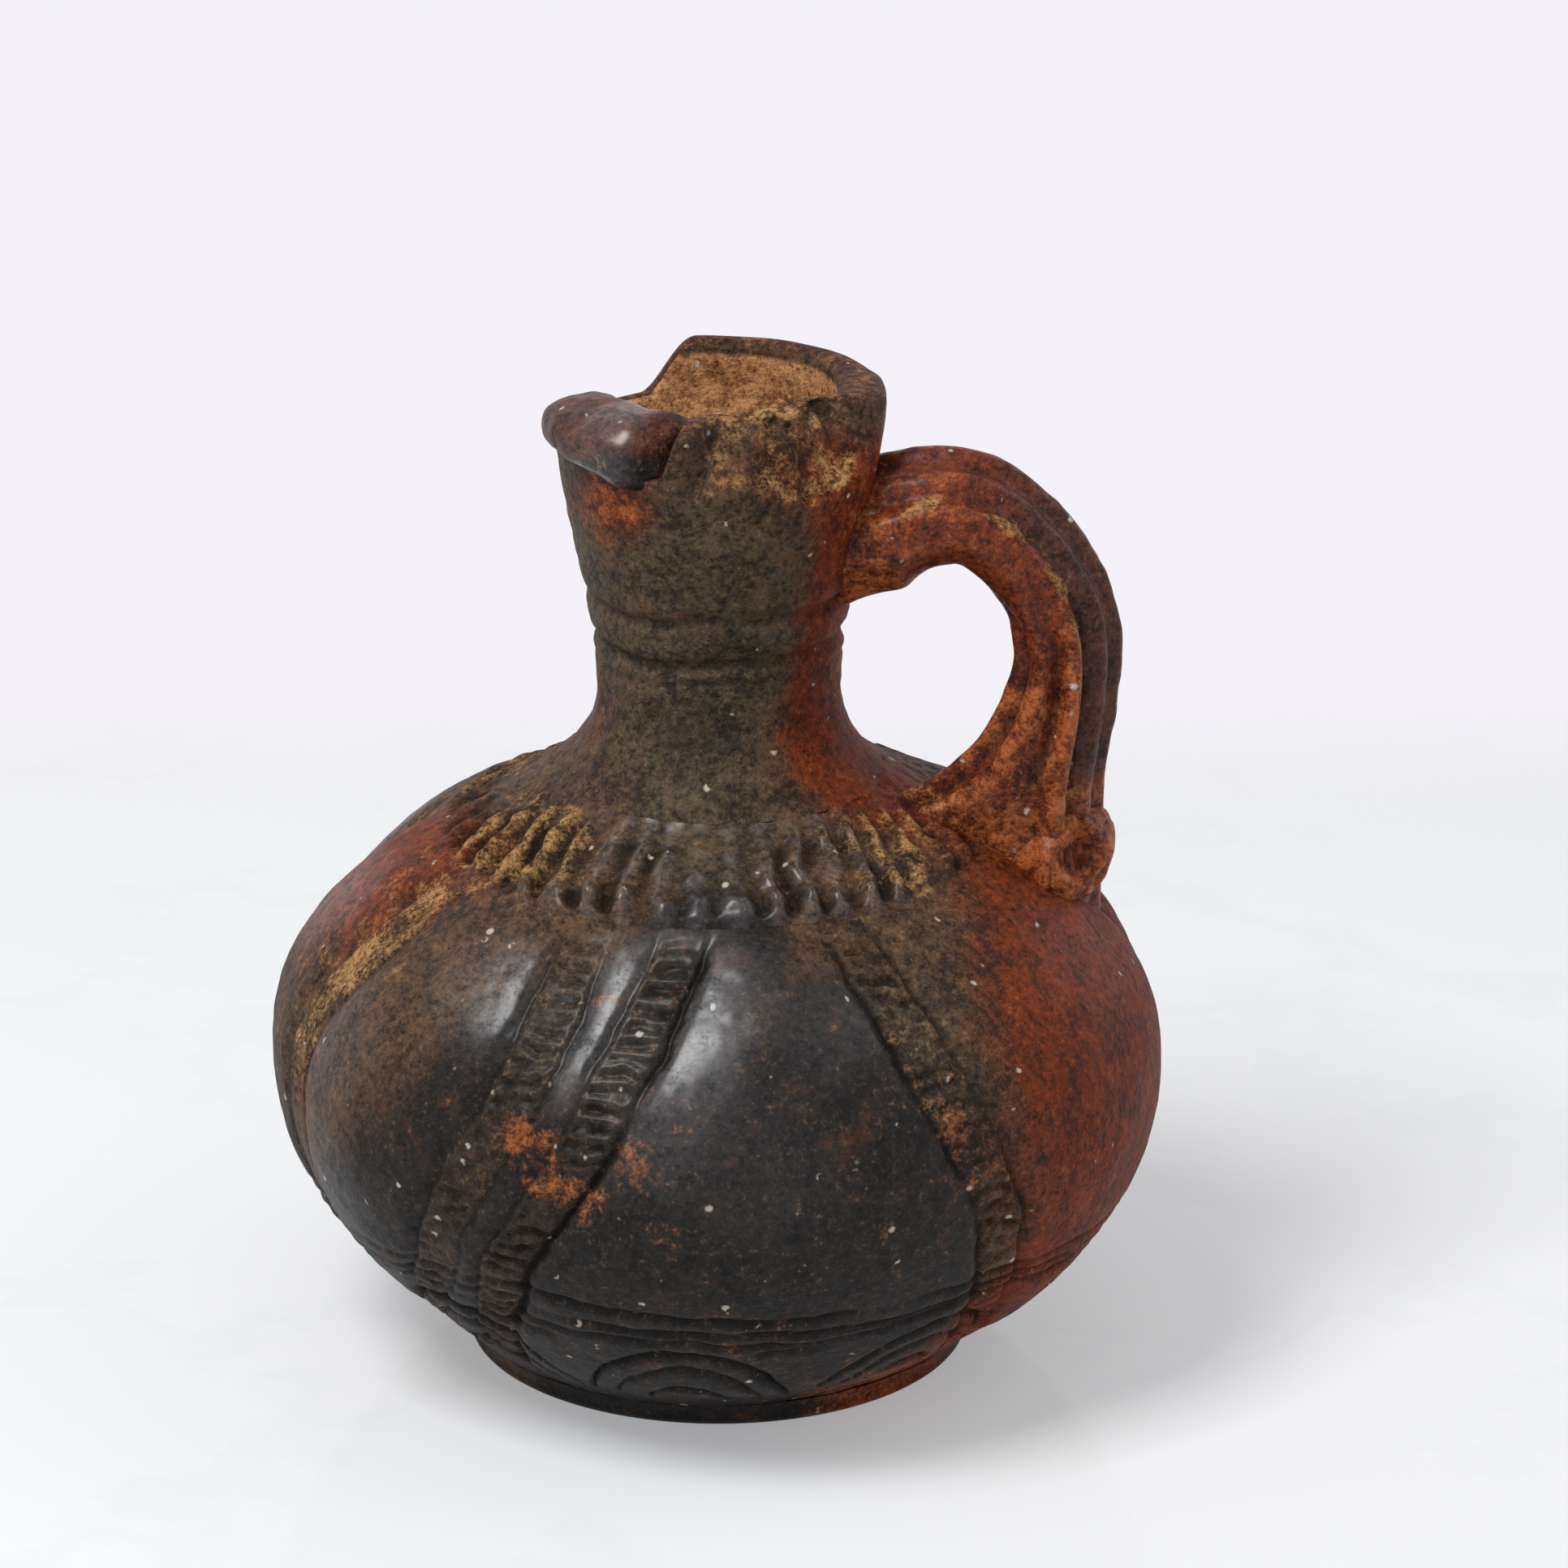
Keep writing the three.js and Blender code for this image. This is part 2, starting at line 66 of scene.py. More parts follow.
def lumps(points, size, seed):
    """Seeded noise from -1 to 1 with soft lumps of about one size, in millimetres."""
    place = points / size + 19.7 * seed
    corner = np.floor(place)
    share = smooth(place - corner)
    corner = corner.astype(np.int64)
    total = 0.0
    for step in product((0, 1), repeat=3):
        key = ((corner + step) * (73856093, 19349663, 83492791)).sum(axis=-1) & 0xFFFFFFFF
        key = ((key ^ (key >> 15)) * 0x2C1B3C6D) & 0xFFFFFFFF
        key = ((key ^ (key >> 12)) * 0x297A2D39) & 0xFFFFFFFF
        weight = np.prod(np.where(step, share, 1 - share), axis=-1)
        total = total + weight * ((key ^ (key >> 15)) / 0x80000000 - 1)
    return total


def worn(points, seed):
    """Uneven hand-made surface: broad dents, small lumps and a little grit."""
    return (0.34 * lumps(points, 17, seed) + 0.16 * lumps(points, 6, seed + 1)
            + 0.10 * lumps(points, 2.4, seed + 2) + 0.06 * lumps(points, 1.2, seed + 3))


def hand_made(points):
    """How far hand work left the vessel's wall from its plain form."""
    return 0.8 * worn(points, 4) - 0.25


def skin(name, rings, caps=False, creases=()):
    """Mesh object over rings of points, its ends capped or joined, and some rings creased."""
    count, columns = rings.shape[:2]
    spans = count - 1 if caps else count
    row = np.arange(spans)[:, None] * columns
    above = (np.arange(spans)[:, None] + 1) % count * columns
    column = np.arange(columns)[None, :]
    beside = (column + 1) % columns
    quads = np.stack([row + column, row + beside, above + beside, above + column], axis=-1)
    corners = quads.reshape(-1)
    sizes = np.full(spans * columns, 4)
    if caps:
        ends = [np.arange(columns)[::-1], np.arange(columns) + (count - 1) * columns]
        corners = np.concatenate([corners, *ends])
        sizes = np.concatenate([sizes, [columns, columns]])
    mesh = bpy.data.meshes.new(name)
    mesh.vertices.add(count * columns)
    mesh.vertices.foreach_set("co", (rings * MM).astype(np.float32).ravel())
    mesh.loops.add(len(corners))
    mesh.loops.foreach_set("vertex_index", corners.astype(np.int32))
    mesh.polygons.add(len(sizes))
    mesh.polygons.foreach_set("loop_start", np.concatenate([[0], np.cumsum(sizes)[:-1]]).astype(np.int32))
    mesh.update(calc_edges=True)
    mesh.shade_smooth()
    ends = np.empty(2 * len(mesh.edges), dtype=np.int32)
    mesh.edges.foreach_get("vertices", ends)
    ring = ends.reshape(-1, 2) // columns
    creased = (ring[:, 0] == ring[:, 1]) & np.isin(ring[:, 0], [number % count for number in creases])
    sharp = mesh.attributes.new("sharp_edge", "BOOLEAN", "EDGE")
    sharp.data.foreach_set("value", creased)
    piece = bpy.data.objects.new(name, mesh)
    bpy.context.scene.collection.objects.link(piece)
    return piece


def around(radius, angle, level):
    """Points at a radius, an angle round from +X and a level, in millimetres."""
    radius, angle, level = np.broadcast_arrays(radius, angle, level)
    return np.stack([radius * np.cos(angle), radius * np.sin(angle), level], axis=-1)


# Where the fire and the years coloured the clay: angle in degrees round from +X, level,
# reach and strength. The front is at -90 and the handle at 0.
SOOT = [
    (-92, 30, 30, 1.0), (-110, 42, 16, 0.7), (-122, 22, 24, 0.8), (-75, 18, 22, 0.9), (-100, 4, 22, 1.0),
    (-140, 16, 18, 0.6), (-62, 36, 10, 0.8), (-90, 54, 8, 0.9), (120, 30, 30, 0.8),
    (180, 20, 24, 0.6), (-70, 46, 8, 0.6), (-92, 78, 6, 0.3), (-100, 68, 7, 0.4), (-98, 1, 14, 1.0),
]
RED = [
    (-28, 36, 22, 1.0), (-8, 44, 26, 1.0), (10, 20, 26, 0.7), (0, 62, 15, 0.6),
    (-18, 87, 10, 0.8), (-20, 80, 10, 0.8), (-18, 72, 10, 0.8), (-26, 64, 10, 0.7), (0, 88, 12, 1.0),
    (-130, 93, 6, 0.3), (-139, 91, 6, 0.25), (-121, 92, 5, 0.3), (-147, 86, 7, 0.25),
    (-170, 68, 7, 0.4), (-50, 95, 8, 0.45), (-80, 96, 6, 0.2),
    (-62, 2, 13, 1.0), (-40, 8, 14, 1.0), (-176, 50, 15, 0.8),
    (-160, 30, 8, 0.4), (40, 40, 24, 0.6), (-30, 16, 14, 0.8), (-150, 55, 9, 0.5),
]
OLIVE = [
    (-100, 84, 17, 0.8), (-120, 70, 12, 0.7), (-92, 60, 10, 0.9), (-60, 78, 8, 0.6),
    (170, 80, 16, 0.8), (90, 78, 16, 0.7), (-60, 14, 9, 0.6), (-116, 46, 11, 0.9),
    (-104, 48, 9, 0.9), (-60, 44, 12, 0.8), (-112, 34, 8, 0.6),
]
EMBER = [
    (-114, 35, 5, 0.5), (-118, 38, 3.5, 0.45), (-108, 31, 4, 0.4), (-101, 36, 3.5, 0.4),
    (-95, 27, 6, 0.15), (-168, 50, 9, 0.22), (-176, 44, 9, 0.2), (-30, 90, 6, 0.35),
    (-18, 56, 8, 0.25), (-58, 40, 6, 0.35), (-55, 33, 6, 0.35), (-130, 93.5, 6, 0.4),
    # The clouds at (-60, 4) and (-38, 5) are partly the clay's orange and partly painted light bounced up
    # from the table onto the low body.
    (-139, 90, 6, 0.2), (-60, 96, 7, 0.25), (-60, 4, 10, 0.7), (-38, 5, 9, 0.5),
    (-24, 80, 9, 0.22), (-22, 70, 8, 0.22), (-70, 24, 7, 0.2), (-84, 16, 6, 0.2), (-96, 38, 6, 0.15),
]


def clouded(points, clouds):
    """Sum of soft round clouds, each given by angle, level, reach and strength."""
    total = np.zeros(points.shape[:-1])
    for angle, level, reach, strength in clouds:
        middle = around(outer_radius(level), math.radians(angle), level)
        away = np.linalg.norm(points - middle, axis=-1) / reach
        total += strength * smooth(1.25 - away)
    return np.clip(total, 0, 1)


def paint(piece, points, hollow_shade=0.0, dirt=0.0, bare=0.0, red=0.0, shine=0.0, smoke=0.0, ember=0.0,
          plum=0.0, spared=0.0):
    """Store how sooty, red, olive, glowing, dirty, bare and rubbed the clay is, and how much painted shade
    darkens its cuts and hollows.

    Soot from the clouds is weaker where the clay is red or spared by the smoke.
    """
    soot = clouded(points, SOOT)
    tones = {
        "soot": np.clip(soot * (1 - np.clip(red + spared, 0, 1)) + smoke, 0, 1),
        "red": np.clip(clouded(points, RED) + red, 0, 1),
        "olive": clouded(points, OLIVE),
        "ember": np.clip(clouded(points, EMBER) + ember, 0, 1),
        "plum": plum,
        "hollow_shade": hollow_shade,
        "dirt": dirt,
        "bare": bare,
        "shine": np.clip(soot * 0.12 + shine, 0, 1),
    }
    for name, values in tones.items():
        layer = piece.data.attributes.new(name, "FLOAT", "POINT")
        values = np.broadcast_to(values, points.shape[:-1]).astype(np.float32)
        layer.data.foreach_set("value", values.ravel())


class Wire:
    """A number, colour or vector on its way between nodes."""

    def __init__(self, finish, socket):
        self.finish = finish
        self.socket = socket

    def maths(self, operation, *values):
        return self.finish.node("ShaderNodeMath", {"operation": operation}, dict(enumerate(values)))

    def __add__(self, other):
        return self.maths("ADD", self, other)

    def __sub__(self, other):
        return self.maths("SUBTRACT", self, other)

    def __rsub__(self, other):
        return self.maths("SUBTRACT", other, self)

    def __mul__(self, other):
        return self.maths("MULTIPLY", self, other)

    __radd__ = __add__
    __rmul__ = __mul__

    def between(self, low, high):
        """0 below low, 1 above high and a soft step between."""
        return self.finish.node("ShaderNodeMapRange", {"interpolation_type": "SMOOTHSTEP"},
                                {"Value": self, "From Min": low, "From Max": high})


class Finish:
    """A material, or the light all round, whose nodes are made by expressions."""

    def __init__(self, holder):
        self.holder = holder
        holder.use_nodes = True
        self.tree = holder.node_tree
        self.tree.nodes.clear()

    def node(self, kind, settings=None, values=None, output=0):
        made = self.tree.nodes.new(kind)
        for key, value in (settings or {}).items():
            setattr(made, key, value)
        for key, value in (values or {}).items():
            if isinstance(value, Wire):
                self.tree.links.new(value.socket, made.inputs[key])
            else:
                made.inputs[key].default_value = value
        return Wire(self, made.outputs[output])

    def mix(self, share, first, second):
        """Colour that turns from the first to the second as the share grows."""
        return self.node("ShaderNodeMix", {"data_type": "RGBA"}, {0: share, 6: first, 7: second}, 2)

    def tone(self, name):
        return self.node("ShaderNodeAttribute", {"attribute_name": name}, output="Fac")

    def noise(self, place, size, detail=3, rough=0.55):
        """Noise from 0 to 1 with features of about one size, in millimetres."""
        return self.node("ShaderNodeTexNoise", {"noise_dimensions": "3D"},
                         {"Vector": place, "Scale": 1 / (size * MM), "Detail": detail, "Roughness": rough})

    def surface(self, shader, out="ShaderNodeOutputMaterial"):
        end = self.tree.nodes.new(out)
        self.tree.links.new(shader.socket, end.inputs["Surface"])
        return self.holder


def colour(hexa):
    """Scene colour of a screen colour written as six hexadecimal digits."""
    parts = [int(hexa[i:i + 2], 16) / 255 for i in (0, 2, 4)]
    return (*[p / 12.92 if p <= 0.04045 else ((p + 0.055) / 1.055) ** 2.4 for p in parts], 1)


def fired_clay():
    """Smoke-clouded burnished clay with painted shade in its hollows, ochre dirt and white grit."""
    clay = Finish(bpy.data.materials.new("fired_clay"))
    place = clay.node("ShaderNodeTexCoord", output="Object")
    broad = clay.noise(place, 12, 5, 0.62) - 0.5
    patchy = clay.noise(place, 3.4, 5, 0.66) - 0.5
    fine = clay.noise(place, 0.9, 4, 0.7) - 0.5
    grain = clay.noise(place, 0.34, 3, 0.7) - 0.5
    mottle = patchy * 0.7 + fine * 0.9 + grain * 0.6 + 0.5
    hollow_shade = clay.tone("hollow_shade")

    brown = clay.mix(mottle.between(0.28, 0.72), colour("281D15"), colour("644A35"))
    olive = clay.mix(mottle.between(0.28, 0.72), colour("251F18"), colour("5C4E39"))
    red = clay.mix(mottle.between(0.26, 0.74), colour("391306"), colour("853816"))
    black = clay.mix(mottle.between(0.28, 0.8), colour("0D0B09"), colour("2E2822"))
    plum = clay.mix(mottle.between(0.28, 0.72), colour("24110C"), colour("623626"))
    ember = clay.mix(mottle.between(0.28, 0.72), colour("6A2A10"), colour("BC6A34"))
    sand = clay.mix(mottle.between(0.3, 0.7), colour("784B2E"), colour("CC9664"))
    base = clay.mix(clay.tone("olive").between(0.1, 0.9), brown, olive)
    base = clay.mix((clay.tone("red") + broad * 0.6 + patchy * 0.6).between(0.12, 0.95), base, red)
    base = clay.mix((clay.tone("plum") + patchy * 0.5).between(0.2, 0.8), base, plum)
    base = clay.mix((clay.tone("soot") + broad * 0.9 + patchy * 0.9).between(0.18, 0.75), base, black)

    rub = (broad * 0.8 + patchy * 1.6 + fine * 0.5 + 0.5).between(0.62, 0.95)
    base = clay.mix(rub * 0.32, base, colour("703B22"))
    glow = (clay.tone("ember") + patchy * 1.3 + fine * 1.2 + grain * 0.6).between(0.3, 1.0)
    base = clay.mix(glow * 0.8, base, ember)
    base = clay.mix((clay.tone("bare") + patchy * 0.5).between(0.3, 0.7), base, sand)
    # Painted shade: cuts, grooves, folds, pits and gaps are darkened towards near-black.
    base = clay.mix(hollow_shade.between(0.08, 0.8) * 0.75, base, colour("0B0907"))
    crust = (clay.tone("dirt") + patchy * 1.4 + fine * 1.1 + grain * 0.6).between(0.24, 1.05)
    caked = (fine * 1.1 + grain * 1.1 + patchy * 0.5 + 0.5).between(0.24, 0.76)
    ochre = clay.mix(caked, colour("4A3420"), colour("C69862"))
    base = clay.mix(crust * 0.85, base, ochre)
    base = clay.mix((grain * 0.9 + fine * 0.8).between(0.1, 0.3) * 0.36, base, colour("9A7452"))
    base = clay.mix((0 - grain * 0.9 - fine * 0.8).between(0.08, 0.28) * 0.6, base, colour("0D0A08"))
    grit = clay.node("ShaderNodeTexVoronoi", {"feature": "F1"}, {"Vector": place, "Scale": 380.0})
    lottery = clay.noise(place, 2.1, 2).between(0.585, 0.63)
    specks = (1 - (grit + fine * 0.12).between(0.1, 0.2)) * lottery
    base = clay.mix(specks * 0.8, base, colour("CFC3B2"))

    dull = (clay.tone("bare") + clay.tone("dirt") + hollow_shade).between(0.1, 0.9)
    rough = 0.55 + 0.2 * (patchy + broad) + 0.3 * dull
    height = grain * 0.4 + fine * 0.9 + patchy * 0.8
    relief = clay.node("ShaderNodeBump", None, {"Strength": 0.85, "Distance": 0.0005, "Height": height})
    streaks = (patchy * 0.8 + fine * 1.0 + grain * 0.8 + 0.78).between(0.2, 0.85)
    burnish = clay.tone("shine") * (1 - dull * 0.8) * streaks
    return clay.surface(clay.node("ShaderNodeBsdfPrincipled", None, {
        "Base Color": base, "Roughness": rough, "Normal": relief, "Specular IOR Level": 0.14,
        "Coat Weight": burnish, "Coat Roughness": 0.31}))


CLAY = fired_clay()


def settle(piece, slot, *nodes):
    """Give a piece its clay, its body and the solids that it stands for."""
    piece.data.materials.append(CLAY)
    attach(piece, "root")
    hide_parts(*nodes)


# Outer profile of the vessel: radius and level where its curves meet
bowl_root = (26.3, foot_height)
belly = (44.3, 31)
shoulder = (28.2, 54.4)
waist = (12.4, 70.5)
mouth_root = (15.6, 91)
rim = (16.8, 101)


def sweep(*points):
    """Points along a cubic Bezier curve."""
    share = np.linspace(0, 1, 80)[:, None]
    a, b, c, d = (np.array(point, float) for point in points)
    rest = 1 - share
    return a * rest ** 3 + 3 * b * rest ** 2 * share + 3 * c * rest * share ** 2 + d * share ** 3


bowl_curve = sweep(bowl_root, (32.8, 8), (belly[0], 17), belly)
shoulder_curve = np.concatenate([
    sweep(belly, (belly[0], 40), (39.8, 46), shoulder),
    sweep(shoulder, (20.5, 58.3), (11.8, 62), waist)[1:],
])
profile = np.concatenate([
    bowl_curve,
    shoulder_curve[1:],
    sweep(waist, (waist[0], 76.5), (14.4, 83.5), mouth_root)[1:],
    sweep(mouth_root, (16.1, 94), (rim[0], 98), rim)[1:],
])
profile_run = np.concatenate([[0], np.cumsum(np.linalg.norm(np.diff(profile, axis=0), axis=1))])


def outer_radius(level):
    return np.interp(level, profile[:, 1], profile[:, 0])


def run_at(level):
    """Distance along the profile, from the foot to a level."""
    return np.interp(level, profile[:, 1], profile_run)


def foot_disc():
    """The disc, from the middle of its underside round its worn edge to the middle of its top."""
    turn = np.linspace(0, np.pi / 2, 10)
    side = np.linspace(foot_edge, foot_height, 5)[1:]
    rounded = foot_radius - foot_taper - foot_edge + foot_edge * np.sin(turn)
    upright = foot_radius - foot_taper * (foot_height - side) / (foot_height - foot_edge)
    under = np.linspace(foot_hub, rounded[0], foot_rows)[:-1]
    top = np.linspace(foot_radius, foot_hub, foot_rows)[1:]
    radius = np.concatenate([under, rounded, upright, top])
    level = np.concatenate([0 * under, foot_edge - foot_edge * np.cos(turn), side, 0 * top + foot_height])
    top_edge = len(radius) - len(top) - 1
    angle = np.linspace(0, 2 * np.pi, foot_columns, endpoint=False)
    rings = around(radius[:, None], angle[None, :], level[:, None])
    edge = smooth((radius - 20) / 6)[:, None] * smooth(level / foot_height * 1.5)[:, None]
    rings[..., :2] *= 1 + (edge * hand_made(rings) / foot_radius)[..., None]
    piece = skin("foot_disc_clay", rings, caps=True, creases=(top_edge,))
    paint(piece, rings, dirt=0.1 * edge)
    settle(piece, "dark_clay", "foot_disc")


foot_disc()

# Lower body
# The bowl that the body starts as, shaped by hand and burnished. Leaning ladders are cut
# in its wall, with a pair of lines round it and a row of arches near the foot.

body_seam = 30
body_wall = 3.4
lobe_rise = 1.1
wide_lobe = 20
body_columns = 720
row_height = 0.38

# Ladders: angle of the middle at the shoulder, the belly and the foot, the pattern, and
# how deep the left and the right line are cut
ladders = [
    ((-151.5, -162, -158), "dots", 0.6, 0.6),
    ((-114.5, -121, -141), "rungs", 1.0, 0.9),
    ((-96.5, -108.5, -127.5), "rungs", 0.9, 1.8),
    ((-65, -56, -44), "rungs", 1.5, 1.3),
    ((2, 7, 14), "rungs", 0.9, 0.9),
    ((17, 23, 32), "dots", 0.7, 0.8),
    ((75, 76, 80), "rungs", 1.0, 1.0),
    ((115, 124, 135), "combs", 1.0, 1.0),
    ((164, 162, 166), "rungs", 1.0, 1.0),
]
ladder_half = (5.6, 4.7, 4.4)
ladder_levels = (54, 36, 12)
line_depth = 0.46
line_width = 0.85
rung_pitch = 2.1
rung_depth = 0.46
# Lines round the low belly: level, and how much of the way round each can be seen
low_lines = [(19.4, 0.8), (17.6, 1.0), (16.2, 0.9), (14.9, 0.2)]
arch_count = 9
arch_top = 14.2
arch_foot = 4.5


def along_ladder(values, level):
    """Value at a level from the three given at the shoulder, the belly and the foot."""
    level = np.clip(level, 3, shoulder[1])
    return np.polyval(np.polyfit(ladder_levels, values, 2), level)


def ladder_path(number, level):
    """Middle angle of a ladder, how much its lean narrows it, and the distance along it."""
    fine = np.linspace(1, 63, 500)
    middle = np.radians(along_ladder(ladders[number][0], fine))
    middle = middle + 0.008 * np.sin(fine / 3.4 + 2 * number) + 0.003 * np.sin(fine / 1.5 + number)
    run = run_at(fine)
    lean = np.gradient(middle) * outer_radius(fine) / np.maximum(np.gradient(run), 1e-3)
    slant = 1 / np.sqrt(1 + np.minimum(lean ** 2, 4))
    step = np.cumsum(np.abs(np.gradient(run)) / slant)
    return [np.interp(level, fine, values) for values in (middle, slant, step)]


def groove(distance, width, depth):
    """Depth of a cut line at a distance from its middle."""
    return depth * np.exp(-(distance / (0.42 * width)) ** 2)


def marked(pattern, distance, width):
    """1 where a ladder's marks lie and 0 elsewhere, at a distance from the ladder's middle."""
    if pattern == "rungs":
        return smooth((0.66 * width - np.abs(distance)) / 0.35)
    if pattern == "combs":
        return smooth((0.3 * width - distance) / 0.35) * smooth((distance + 0.66 * width) / 0.35)
    return swell(distance, 1.9) + swell(np.abs(distance) - 1.7, 1.1) * 0.6


def swelled(middles, half, angle, radius):
    """How far the panels between the ladders swell out: 1 in the middle of a wide one."""
    rise = 0
    for before, after in zip(middles[:-1], middles[1:]):
        start, end = before + 1.1 * half, after - 1.1 * half
        share = ((angle - start) % (2 * np.pi)) / (end - start)
        width = (end - start) * radius
        bulge = np.sqrt(np.clip(4 * share * (1 - share), 0, 1)) * np.minimum(1, width / wide_lobe)
        rise = rise + np.where(share < 1, bulge, 0)
    return rise


def ladder_field(angle, level):
    """Rise of the lobes, depth of the ladder cuts and where the ladders are."""
    radius = outer_radius(level)
    half = np.radians(along_ladder(ladder_half, level))
    place = around(radius, angle, level)
    wear = smooth(0.85 + 1.1 * lumps(place, 5.5, 21))
    ragged = 0.28 * lumps(place, 2.3, 22) + 0.2 * lumps(place, 1.1, 23)
    jumble = 0.45 * lumps(place, 3.6, 61) + 0.2 * lumps(place, 1.4, 62)
    fade = smooth((level - 4) / 5) * smooth((54.3 - level) / 2.2)
    cut = np.zeros(place.shape[:-1])
    band = np.zeros(place.shape[:-1])
    middles = []
    for number, (_, pattern, left, right) in enumerate(ladders):
        middle, slant, step = ladder_path(number, level)
        middles.append(middle)
        across = (angle - middle + np.pi) % (2 * np.pi) - np.pi
        distance = across * radius * slant + ragged
        width = half * radius * slant
        strength = np.where(distance < 0, left, right)
        edge = np.abs(distance) - 0.85 * width
        band = np.maximum(band, smooth(0.5 - edge / 0.8) * fade)
        line = groove(edge, line_width * (0.8 + 0.3 * strength), line_depth)
        cut += line * strength * fade * (0.45 + 0.55 * wear)
        phase = step / rung_pitch + 0.3 * np.sin(step / 5 + number) + jumble
        pit = smooth((0.5 - np.abs(phase % 1.0 - 0.5)) * 4.5 - 0.55)
        pit = pit * (0.45 + 0.55 * np.abs(np.sin(12.99 * np.floor(phase) + 7 * number)))
        pit = pit * (0.75 + 0.5 * lumps(place, 1.3, 67))
        inside = marked(pattern, distance, width)
        cut += rung_depth * 0.5 * (left + right) * pit * inside * fade * (0.55 + 0.45 * wear)
    rise = swelled(middles + [middles[0] + 2 * np.pi], half, angle, radius)
    return lobe_rise * rise * smooth((level - 3) / 6) * smooth((56 - level) / 5), cut, band


def low_cuts(angle, level):
    """Lines round the low belly and the row of arches under them."""
    place = around(outer_radius(level), angle, level)
    ragged = 0.3 * lumps(place, 4, 24) + 0.15 * lumps(place, 1.4, 25)
    faint = smooth((-1.95 - angle) / 0.35)
    cut = np.zeros(place.shape[:-1])
    for number, (at, share) in enumerate(low_lines):
        wave = at + 0.5 * np.sin(2 * angle + 0.7 * number) + 0.2 * np.sin(9 * angle + 2 * number) + ragged
        present = smooth(share + 0.9 * lumps(place, 9, 26 + number))
        cut += groove(level - wave, 0.95, 0.58) * present * (1 - 0.6 * faint)
    turn = ((angle + 0.62) / (2 * np.pi) * arch_count) % 1 - 0.5
    for size, strength in ((1, 0.75), (0.74, 0.55), (0.42, 0.75)):
        spread = np.clip(1 - (turn / (0.47 * size)) ** 2, 0, 1)
        crown = arch_foot + (arch_top - arch_foot) * size * spread ** 0.7
        cut += groove(level - crown + ragged, 1.2, strength) * (np.abs(turn) < 0.47 * size)
    return cut * smooth((level - 3.6) / 1.2)


def wall_rows(low, high):
    """Levels from low to high, an even distance apart along the profile."""
    runs = np.linspace(run_at(low), run_at(high), round((run_at(high) - run_at(low)) / row_height) + 1)
    return np.interp(runs, profile_run, profile[:, 1])[:, None]


def outward(angle, level):
    """Unit vectors straight out of the vessel's plain profile, and how far it leans."""
    pad = 0.5
    slope = (outer_radius(level + pad) - outer_radius(level - pad)) / (2 * pad)
    return around(1 / np.hypot(1, slope), angle, -slope / np.hypot(1, slope)), np.hypot(1, slope)


def shaped(angle, level, rise, cut):
    """Points of the outer wall after its rise, cuts and hand-made unevenness."""
    rings = around(outer_radius(level), angle, level)
    height = rise - cut + hand_made(rings)
    return rings + outward(angle, level)[0] * height[..., None]


def inner_wall(angle, low, high, rows):
    """Rings of the inside of the vessel, from high to low."""
    level = np.linspace(high, low, rows)[:, None]
    radius = outer_radius(level) - body_wall * np.minimum(outward(angle, level)[1], 2.2)
    return around(radius, angle, level)


def turns(columns):
    """Angles of the columns of a ring, once round from the back."""
    return np.linspace(-np.pi, np.pi, columns, endpoint=False)[None, :]


# Ochre dirt on the ladders and the collar: strong at the shoulder, faint elsewhere
DIRT = [
    (-150, 57, 11, 0.9), (-158, 50, 11, 0.8), (-162, 40, 11, 0.7), (-125, 58, 9, 0.8), (-112, 58, 6, 0.4),
    (-62, 58, 12, 0.8), (-42, 57, 10, 0.8), (-61, 44, 9, 0.45), (-54, 30, 8, 0.3),
    (-118, 47, 9, 0.3), (-103, 49, 8, 0.3), (-110, 36, 8, 0.2), (-75, 15, 12, 0.25), (150, 54, 16, 0.7),
    (60, 55, 16, 0.7), (-170, 32, 8, 0.3),
]


def crusted(rings, cut, band):
    """How much dirt clings to the ladders and round them, less in their cuts."""
    caught = 0.26 + 0.45 * band - 0.9 * cut + 0.5 * lumps(rings, 2.5, 55)
    return clouded(rings, DIRT) * np.clip(caught, 0, 1)


# Places that a burnishing pebble rubbed bright
BRIGHT = [
    (-106, 50, 7, 1.0), (-109, 44, 6, 1.0), (-92, 50, 8, 1.0), (-96, 45, 8, 1.0), (-99, 39, 7, 0.8),
    (-128, 48, 7, 0.8), (-160, 58, 6, 1.0), (-150, 40, 8, 0.4), (-176, 47, 8, 0.5), (-24, 46, 9, 0.15),
    (-75, 47, 7, 0.4), (80, 44, 12, 0.6), (150, 44, 12, 0.6), (-150, 26, 8, 0.3), (-85, 36, 9, 0.3),
]


def shell(name, outer, inner, caps=False):
    """Closed wall between rings of its outside, from low to high, and of its inside, from high to low."""
    rings = np.concatenate([outer, inner])
    count = len(outer)
    return skin(name, rings, caps, creases=(0, count - 1, count, len(rings) - 1)), rings


def lined(values, inner, fill=0.0):
    """Values of a wall's outside, then one value for all of its inside."""
    return np.concatenate([values, np.full(inner.shape[:2], fill)])


def body_piece(name, outer, inner, cut, band, caps=False):
    """A painted half of the body."""
    piece, rings = shell(name, outer, inner, caps)
    shine = clouded(outer, BRIGHT) * (1 - 0.8 * band)
    # Painted shade in the ladder cuts, the low lines and the arches.
    paint(piece, rings, hollow_shade=lined(np.clip(1.15 * cut, 0, 1), inner),
          dirt=lined(crusted(outer, cut, band), inner), shine=lined(shine, inner),
          spared=lined(0.45 * band, inner))
    return piece


def lower_body():
    angle = turns(body_columns)
    level = wall_rows(foot_height, body_seam)
    rise, cut, band = ladder_field(angle, level)
    cut = cut + low_cuts(angle, level)
    outer = shaped(angle, level, rise, cut)
    inner = inner_wall(angle, foot_height + body_wall + 2, body_seam, 10)
    piece = body_piece("lower_body_clay", outer, inner, cut, band, caps=True)
    settle(piece, "dark_clay", "lower_body")


lower_body()

# Upper body
# The upper half of the body, luted to the lower one at the widest place and burnished
# with it, so that the lobes and ladders run on without a break.


